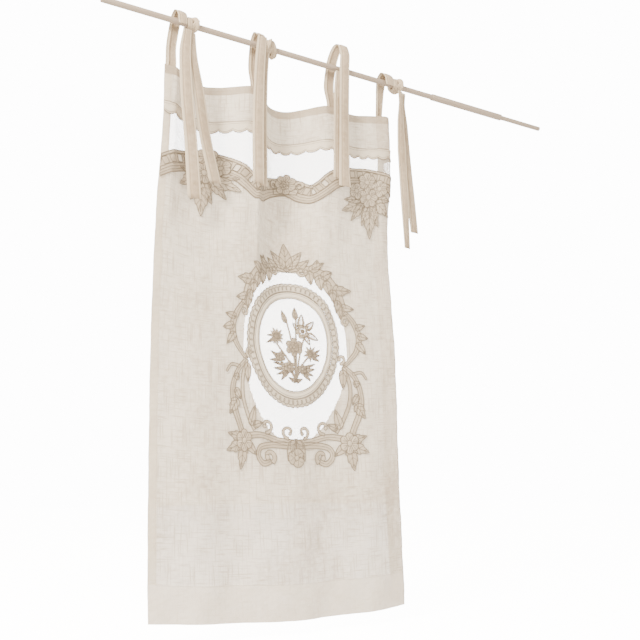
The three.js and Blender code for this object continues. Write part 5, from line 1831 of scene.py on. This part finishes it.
@dataclass(frozen=True)
class Ribbon:
    """A ribbon of a tie through places of x, y, z, width and the turn of its flat side in degrees."""

    name: str
    nodes: tuple[str, ...]
    rows: tuple[Row, ...]
    cut_width: float = 30
    cup: float = 1.2
    thick: float = 0.7
    crease_at: float = -0.42
    crease_depth: float = 1.7
    steps: int = 12

    def line(self) -> tuple[Array, Array, Array]:
        """The middle line, on the curve through its places that is even in the root of the chord, and its width.

        Returns:
            The points, the widths and the turns, in radians.
        """
        rows = np.asarray(self.rows, float)
        p = rows[:, :3]
        p = np.concatenate([[2 * p[0] - p[1]], p, [2 * p[-1] - p[-2]]])
        t = np.linspace(0, len(rows) - 1, self.steps * (len(rows) - 1) + 1)
        i = np.minimum(t.astype(int), len(rows) - 2)
        w = (t - i)[:, None]
        p0, p1, p2, p3 = (p[i + k] for k in range(4))
        d0, d1, d2 = (np.linalg.norm(b - a, axis=1, keepdims=True) ** 0.5 for a, b in ((p0, p1), (p1, p2), (p2, p3)))
        m1 = ((p1 - p0) / d0 - (p2 - p0) / (d0 + d1) + (p2 - p1) / d1) * d1
        m2 = ((p2 - p1) / d1 - (p3 - p1) / (d1 + d2) + (p3 - p2) / d2) * d1
        keys = np.arange(len(rows))
        return cubic(p1, p2, m1, m2, w), np.interp(t, keys, rows[:, 3]), np.radians(np.interp(t, keys, rows[:, 4]))

    def build(self, material: Material, rests_on: str, with_pieces: Sequence[str] = ()) -> Piece:
        """The ribbon: a section carried along its line, cupped, with a soft crease along one side.

        Args:
            material: Its finish.
            rests_on: Not used.
            with_pieces: Not used.

        Returns:
            The piece.
        """
        points, widths, turns = self.line()
        wide = np.stack([np.cos(turns), np.sin(turns), np.zeros_like(turns)], -1)
        out = unit(np.cross(np.gradient(points, axis=0), wide))
        s = np.linspace(-1, 1, 25)
        along = length_along(points)
        sway = 0.5 * np.sin(along / 38.0)[:, None]
        crease = self.crease_depth * np.exp(-(((s - self.crease_at - 0.1 * sway) / 0.13) ** 2))
        lift = self.thick / 2 + self.cup * (1 - s**2) - crease + 0.8 * sway * s
        middle = points[:, None] + (s[None, :, None] * (widths / 2)[:, None, None]) * wide[:, None]
        grid = middle + lift[..., None] * out[:, None]
        flat = np.stack(np.broadcast_arrays(s[None, :] * self.cut_width / 2, along[:, None]), -1)
        fold_at = -self.crease_at - 0.1 * sway
        edge = np.maximum(smoothstep(-s - fold_at, -0.04, 0.06), smoothstep(s, 0.66, 0.76)[None, :])
        # Painted shade: the line mark is dark along the crease, and fainter near the other edge.
        folds = np.exp(-(((-s[None, :] - fold_at) / 0.07) ** 2)) + 0.7 * np.exp(-(((s[None, :] - 0.7) / 0.07) ** 2))
        marks = {"edge": edge.ravel(), "line": np.clip(folds, 0, 1).ravel()}
        faces = grid_faces(len(points), len(s))
        patch = Patch(grid.reshape(-1, 3), faces, flat.reshape(-1, 2), marks)
        piece = mesh_of(self.name, [patch])
        solid = piece.modifiers.new("cloth", "SOLIDIFY")
        solid.thickness = self.thick * MM
        solid.offset = 0
        settle(piece, material, Slot.RIBBON, *self.nodes)
        return piece


STRAPS: tuple[tuple[Row, ...], ...] = (
    (
        (163, 2.4, -131, 25, 0), (164, 2.8, -104, 26, 0), (166, 12, -60, 25, 4), (171, 13, -14, 25, 2),
        (175, 11, 16, 25, 0), (178, 0, 27, 24, 0), (181, -12, 14, 23, 0), (183, -14, -10, 20, 0),
    ),
    (
        (373, 2.4, -129, 25, 0), (373, 2.8, -103, 26, 0), (371, 12, -60, 26, 0), (373, 13, -14, 26, 0),
        (376, 11, 18, 26, 0), (378, 0, 31, 26, 0), (380, -11, 20, 24, 0),
    ),
    (
        (584, 3.6, -126, 25, 0), (584, 3.8, -100, 26, 0), (582, 12, -55, 30, 0), (587, 14, -8, 29, 0),
        (595, 12, 36, 28, -6), (606, 5, 66, 27, -6),
    ),
    (
        (746, 31, -110, 18, 0), (746, 30, -84, 20, 0), (743, 22, -48, 24, 4), (740, 13, -12, 27, 2),
        (744, 11, 15, 30, 0), (748, 0, 26, 30, 0), (751, -12, 13, 28, 0), (753, -14, -10, 24, 0),
    ),
)
TAILS: tuple[tuple[tuple[Row, ...], tuple[Row, ...]], ...] = (
    (
        (
            (192, -19, -24, 20, 0), (188, -20, -80, 27, 0), (194, -22, -173, 29, -4), (207, -24, -292, 29, -6),
            (220, -25, -424, 30, -8),
        ),
        (
            (204, -14, -27, 18, 0), (206, -15, -80, 26, 4), (224, -16, -165, 29, 6), (245, -17, -280, 30, 8),
            (270, -18, -376, 31, 10),
        ),
    ),
    (
        (
            (379, -20, 14, 24, 0), (374, -21, -48, 26, 0), (371, -22, -150, 27, -4), (371, -23, -262, 28, -4),
            (373, -24, -358, 28, 0),
        ),
        (
            (390, -14, -22, 22, 0), (385, -15, -60, 26, 0), (383, -16, -150, 27, 4), (384, -16, -262, 28, 4),
            (386, -16, -360, 28, 2),
        ),
    ),
    (
        (
            (612, -1, 69, 27, -6), (615, -11, 44, 28, -4), (612, -15, 0, 28, 0), (609, -18, -100, 29, 4),
            (607, -20, -210, 29, 2), (606, -21, -288, 30, 0), (606, -24, -322, 34, 0),
        ),
        (
            (600, -11.5, -12, 24, 0), (596, -12.5, -60, 26, 0), (594, -13, -150, 26, 2), (593, -14, -240, 27, 0),
            (592, -15, -300, 27, 0),
        ),
    ),
    (
        (
            (780, -20, -23, 14, 8), (781, -20, -56, 14, 16), (779, -21, -110, 22, 8), (780, -22, -190, 27, 0),
            (784, -23, -310, 25, 4), (789, -24, -452, 21, 12),
        ),
        (
            (797, -12, -22, 14, 14), (796, -12, -56, 12, 24), (800, -12, -110, 19, 16), (804, -12, -200, 25, 8),
            (812, -13, -310, 26, 6), (820, -14, -404, 26, 6),
        ),
    ),
)
HIGH_LOOP = 2


@dataclass(frozen=True)
class Knot:
    """A tie's knot on the rod: leaning wraps of ribbon, each a closed ring with soft pleats along it."""

    tie: int
    x: float
    width: float
    lean: float
    outer: float
    inner: float = 8.2
    # each wrap's share of the width aside, of the width, of the thickness, its lean and its turn
    wraps: tuple[Row, ...] = (
        (-0.2, 0.62, 0.72, 1.0, 0.3), (0.24, 0.55, 0.8, -2.2, 1.4), (0.02, 0.42, 1.0, 3.4, 2.6),
    )

    def build(self, material: Material) -> Piece:
        """Rings round the rod: an oval section with pleats, carried round and leaning to and fro along the rod.

        Args:
            material: The ribbon's finish.

        Returns:
            The piece.
        """
        way = np.linspace(0, 2 * math.pi, 56, endpoint=False)[:, None]
        section = np.linspace(0, 2 * math.pi, 24, endpoint=False)[None, :]
        patches = []
        for aside, wide, thick, lean, turn in self.wraps:
            lump = 1 + 0.22 * np.cos(2 * way - turn) + 0.1 * np.cos(3 * way + turn)
            depth = (self.outer - self.inner) * thick * lump
            pleat = 0.07 * np.cos(5 * section + 1.5 * np.sin(way + turn))
            out = self.inner + depth * (0.5 + (0.5 + pleat) * np.sin(section))
            x = self.x + self.width * (aside + 0.5 * wide * np.cos(section)) + lean * self.lean * np.sin(way + turn)
            points = np.stack(np.broadcast_arrays(x, -out * np.sin(way), out * np.cos(way)), -1)
            flat = np.stack(np.broadcast_arrays(self.width * section / 6, 16 * way), -1)
            faces = grid_faces(len(way), section.shape[1], True, True)[:, ::-1]
            # Painted shade in the hollows between the pleats, carried by the line mark.
            pleat_shade = (0.5 - 0.5 * np.cos(5 * section + 1.5 * np.sin(way + turn))) ** 3
            marks = {"edge": 0.5 * thick, "line": 0.6 * pleat_shade.ravel()}
            patches.append(Patch(points.reshape(-1, 3), faces, flat.reshape(-1, 2), marks))
        piece = mesh_of(f"tie_{self.tie}_wraps", patches)
        return settle(piece, material, Slot.RIBBON, f"tie_{self.tie}_knot")


# tie, x, width, lean and outer reach
KNOTS = (Knot(1, 208, 22, -3, 19), Knot(2, 406, 28, 3, 22), Knot(4, 780, 24, -3, 20))


@dataclass(frozen=True)
class Rod:
    """The rod: a main tube, a thicker sleeve over its right part and a thin end that goes into it."""

    length: float = 1300
    radius: float = 7
    sleeve_from: float = 900
    sleeve_to: float = 1149
    sleeve_radius: float = 8.8
    end_from: float = 1148
    end_radius: float = 6.2
    gap: float = 0.35
    chamfer: float = 1.2
    sides: int = 64

    def turned(self, name: str, profile: Sequence[Row], material: Material, node: str) -> None:
        """A round piece: a profile of place and radius carried round the rod's axis.

        Args:
            name: The piece's name.
            profile: Rows of place along the rod and radius, closed at the axis or on itself.
            material: Its finish.
            node: The solid that it replaces.
        """
        rows = np.asarray(profile, float)
        angle = np.linspace(0, 2 * math.pi, self.sides, endpoint=False)
        x = np.broadcast_to(rows[:, :1], (len(rows), self.sides))
        points = np.stack([x, rows[:, 1:] * np.sin(angle), rows[:, 1:] * np.cos(angle)], -1)
        flat = np.stack(np.broadcast_arrays(rows[:, :1], self.radius * angle[None, :]), -1)
        faces = grid_faces(len(rows), self.sides, True)[:, ::-1]
        piece = mesh_of(name, [Patch(points.reshape(-1, 3), faces, flat.reshape(-1, 2))])
        weld = piece.modifiers.new("close", "WELD")
        weld.merge_threshold = 1e-5
        sharp = piece.modifiers.new("edges", "EDGE_SPLIT")
        sharp.split_angle = math.radians(35)
        settle(piece, material, Slot.ROD, node)

    def rounding(self, at: float, radius: float, way: int) -> list[Row]:
        """A quarter round: from the end face to the side if way is 1, and from the side to the face if it is -1.

        Args:
            at: The end face's place along the rod.
            radius: The side's radius.
            way: 1 at a left end and -1 at a right one.

        Returns:
            Rows of place and radius.
        """
        turn = np.linspace(0, math.pi / 2, 5)[::-way]
        c = self.chamfer
        return [(at + way * c * (1 - math.sin(a)), radius - c * (1 - math.cos(a))) for a in turn]

    def build(self, material: Material) -> None:
        """The three pieces, with rounded ends.

        Args:
            material: The finish.
        """
        base, tip = self.end_from, self.end_radius
        bore, lip = self.radius + self.gap, tip + self.gap
        main_end = base - self.gap
        main = [(0.0, 0.0), *self.rounding(0.0, self.radius, 1), (main_end, self.radius), (main_end, 0.0)]
        sleeve = [
            *self.rounding(self.sleeve_from, self.sleeve_radius, 1),
            *self.rounding(self.sleeve_to, self.sleeve_radius, -1),
            *((self.sleeve_to, lip), (base, lip), (base, bore), (self.sleeve_from, bore)),
        ]
        thin = [(base, 0.0), (base, tip), *self.rounding(self.length, tip, -1), (self.length, 0.0)]
        self.turned("rod_main", main, material, "rod_tube")
        self.turned("rod_thick_part", [*sleeve, sleeve[0]], material, "rod_sleeve")
        self.turned("rod_thin_part", thin, material, "rod_end")


@dataclass(frozen=True)
class Studio:
    """The pale floor, the soft lights and the camera."""

    camera_at: Row = (-0.363, -1.58, -1.027)
    right: Row = (0.866, -0.5, 0.0)
    up: Row = (-0.0997, -0.1727, 0.98)
    focal_px: float = 794
    image_px: float = 640
    floor_height: float = -1.345
    sky: float = 1.45
    backdrop: float = 14.0
    through_cloth: float = 2.7
    floor_glow: float = 13.0
    light_colour: Row = (1.0, 0.885, 0.735, 1.0)
    through_colour: Row = (1.0, 0.865, 0.66, 1.0)
    # name, place, the point that it is turned to, size and power
    lights: tuple[tuple[str, Row, Row, float, float], ...] = (
        ("key", (-2.2, -1.6, 1.4), (0.4, 0, -0.6), 1.0, 305),
        ("fill", (2.6, -2.2, 0.2), (0.4, 0, -0.7), 2.0, 16),
        ("back", (0.8, 2.6, 0.8), (0.4, 0, -0.6), 2.2, 22),
    )

    def build(self) -> None:
        """Makes the camera, the floor, the world and the lights."""
        data = bpy.data.cameras.new("camera")
        data.sensor_width = 36
        data.lens = self.focal_px / self.image_px * data.sensor_width
        data.clip_start, data.clip_end = 0.05, 100
        camera = bpy.data.objects.new("camera", data)
        right, up = unit(np.array(self.right)), unit(np.array(self.up))
        axes = np.stack([right, up, np.cross(right, up)], 1)
        matrix = Matrix(axes.tolist()).to_4x4()
        matrix.translation = self.camera_at
        camera.matrix_world = matrix
        bpy.context.scene.collection.objects.link(camera)
        bpy.context.scene.camera = camera
        self.add_floor()
        self.add_world()
        for name, at, towards, size, power in self.lights:
            self.add_light(name, at, towards, size, power)

    def add_world(self) -> None:
        """A white backdrop, bright where it is seen past the cloth, and a soft warm light from all round."""
        world = bpy.data.worlds.new("studio")
        world.use_nodes = True
        w = Wiring(world.node_tree)
        background = world.node_tree.nodes["Background"]
        rays = w.node("ShaderNodeLightPath")
        is_clear = w.math("LESS_THAN", rays.outputs["Transparent Depth"], 0.5)
        seen = w.math("MULTIPLY_ADD", is_clear, self.backdrop - self.through_cloth, self.through_cloth)
        is_seen = rays.outputs["Is Camera Ray"]
        added = w.math("MULTIPLY", is_seen, w.math("SUBTRACT", seen, self.sky))
        w.feed(background.inputs["Strength"], w.math("ADD", added, self.sky))
        is_plain = w.math("MULTIPLY", is_seen, is_clear)
        behind = w.blend(is_seen, self.light_colour, self.through_colour)
        w.feed(background.inputs["Color"], w.blend(is_plain, behind, (1, 1, 1, 1)))
        bpy.context.scene.world = world

    def add_floor(self) -> None:
        """A wide white floor a little below the hem."""
        corners = np.array([[-9, -9, 0], [9, -9, 0], [9, 9, 0], [-9, 9, 0]], float) / MM
        corners[:, 2] = self.floor_height / MM
        floor = mesh_of("floor", [Patch(corners, np.array([[0, 1, 2, 3]]), corners[:, :2])])
        material, w, shader = new_material("floor", 0.9)
        tone = w.noise(object_place(w), 1.5, 2.0)
        w.feed(shader.inputs["Base Color"], w.blend(tone, (0.93, 0.93, 0.93, 1), (0.96, 0.96, 0.96, 1)))
        shader.inputs["Emission Color"].default_value = (1, 1, 1, 1)
        rays = w.node("ShaderNodeLightPath")
        is_clear = w.math("LESS_THAN", rays.outputs["Transparent Depth"], 0.5)
        glow = w.math("MULTIPLY_ADD", is_clear, self.floor_glow - self.through_cloth / 2, self.through_cloth / 2)
        w.feed(shader.inputs["Emission Strength"], w.math("MULTIPLY", rays.outputs["Is Camera Ray"], glow))
        floor.data.materials.append(material)

    def add_light(self, name: str, at: Row, towards: Row, size: float, power: float) -> None:
        """A square soft light at a place, turned towards a point.

        Args:
            name: The light's name.
            at: Its place.
            towards: The point.
            size: The length of its side.
            power: Its power in watts.
        """
        data = bpy.data.lights.new(name, "AREA")
        data.size, data.energy = size, power
        data.color = self.light_colour[:3]
        light = bpy.data.objects.new(name, data)
        light.location = at
        z = unit(np.array(at) - np.array(towards))
        x = unit(np.cross([0, 0, 1], z))
        light.rotation_euler = Matrix(np.stack([x, np.cross(z, x), z], 1).tolist()).to_euler()
        bpy.context.scene.collection.objects.link(light)


@dataclass(frozen=True)
class Curtain:
    """The whole curtain: its panel, nets, lace, embroidery, ties and rod."""

    cloth: HungCloth = HungCloth()
    border: Border = Border()
    lace_lift: float = 0.9
    upper_lift: float = 2.0
    # across and down of the motifs' middles
    spray_at: Row = (110, 235)
    shell_at: Row = (335, 202)
    medallion_at: Row = (335, 600)
    # left, right, top and bottom of each net
    heading_box: Row = (10, 660, 92, 270)
    medallion_box: Row = (170, 500, 415, 835)

    @property
    def panel(self) -> LinenPanel:
        """The linen, with its openings."""
        return LinenPanel(self.cloth, Openings(self.border))

    def build_panel(self, work: ThreadWork) -> Piece:
        """The linen and its two nets.

        Args:
            work: The shared node groups.

        Returns:
            The linen's object.
        """
        panel = self.panel
        openings = panel.openings
        linen = settle(panel.build(), LinenFinish().build(work), Slot.LINEN, "linen_panel")
        net_finish = NetFinish().build(work)
        net = NetInset(self.cloth)
        heading = net.build("heading_net_strands", openings.heading_gap, self.heading_box)
        medallion = net.build("medallion_net_strands", openings.medallion_gap, self.medallion_box)
        settle(heading, net_finish, Slot.NET, "net_heading")
        settle(medallion, net_finish, Slot.NET, "net_medallion")
        return linen

    def build_lace(self, work: ThreadWork) -> list[Piece]:
        """The lace and the embroidery.

        Args:
            work: The shared node groups.

        Returns:
            The pieces sewn on the panel.
        """
        lace, band, wreath, thread, ring = (finish.build(work) for finish in LACE_FINISHES)
        width = self.cloth.width
        left = spray_motif().placed(*self.spray_at)
        right = spray_motif().placed(width - self.spray_at[0], self.spray_at[1], True)
        shell = shell_motif().placed(*self.shell_at)
        oval_work = (BraidedWreath(), SmoothRing(), Bouquet())
        wreath_motif, ring_motif, bouquet = (piece.motif().placed(*self.medallion_at) for piece in oval_work)
        low, high = self.lace_lift, self.upper_lift
        made = [
            ("scalloped_tape", [ScallopedBand().motif()], low, band, Slot.LACE, "scalloped_band"),
            ("ladder_lace", [self.border.motif()], low, lace, Slot.LACE, "lace_border"),
            ("left_spray", [left], high, lace, Slot.LACE, "spray_left"),
            ("right_spray", [right], high, lace, Slot.LACE, "spray_right"),
            ("shell", [shell], high, lace, Slot.LACE, "border_flower"),
            ("scroll_frame", MedallionFrame().motifs(*self.medallion_at), low, lace, Slot.LACE, "medallion_frame"),
            ("braided_wreath", [wreath_motif], high, wreath, Slot.LACE, "medallion_wreath"),
            ("smooth_ring", [ring_motif], low, ring, Slot.LACE, "medallion_ring"),
            ("satin_bouquet", [bouquet], low, thread, Slot.EMBROIDERY, "bouquet"),
        ]
        pieces = []
        for seed, (name, motifs, lift, material, slot, node) in enumerate(made):
            pieces.append(settle(hang(name, motifs, self.cloth, lift, seed + 1), material, slot, node))
        return pieces

    def build_ties(self, work: ThreadWork) -> None:
        """The four ties: strap, knot and two free ends each. The third's strap goes on into its first free end.

        Args:
            work: The shared node groups.
        """
        ribbon = RibbonFinish().build(work)
        wraps = {knot.tie: knot.build(ribbon) for knot in KNOTS}
        for n, (strap, (first, second)) in enumerate(zip(STRAPS, TAILS)):
            tie = f"tie_{n + 1}"
            if n == HIGH_LOOP:
                Ribbon(f"{tie}_loop", (f"{tie}_strap", f"{tie}_tail_a"), strap + first).build(ribbon, "rod_tube")
            else:
                Ribbon(f"{tie}_band", (f"{tie}_strap",), strap).build(ribbon, "rod_tube", [wraps[n + 1].name])
                Ribbon(f"{tie}_end_a", (f"{tie}_tail_a",), first).build(ribbon, "rod_tube")
            Ribbon(f"{tie}_end_b", (f"{tie}_tail_b",), second).build(ribbon, "rod_tube")


def main() -> None:
    """Builds the studio and the curtain."""
    logging.basicConfig(level=logging.INFO, format="%(name)s %(message)s", stream=sys.stdout)
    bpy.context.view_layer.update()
    Studio().build()
    work = ThreadWork()
    curtain = Curtain()
    Rod().build(RodFinish().build(work))
    linen = curtain.build_panel(work)
    lace = curtain.build_lace(work)
    curtain.build_ties(work)
    curtain.panel.cut_area()
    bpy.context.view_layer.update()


if __name__ == "__main__":
    main()
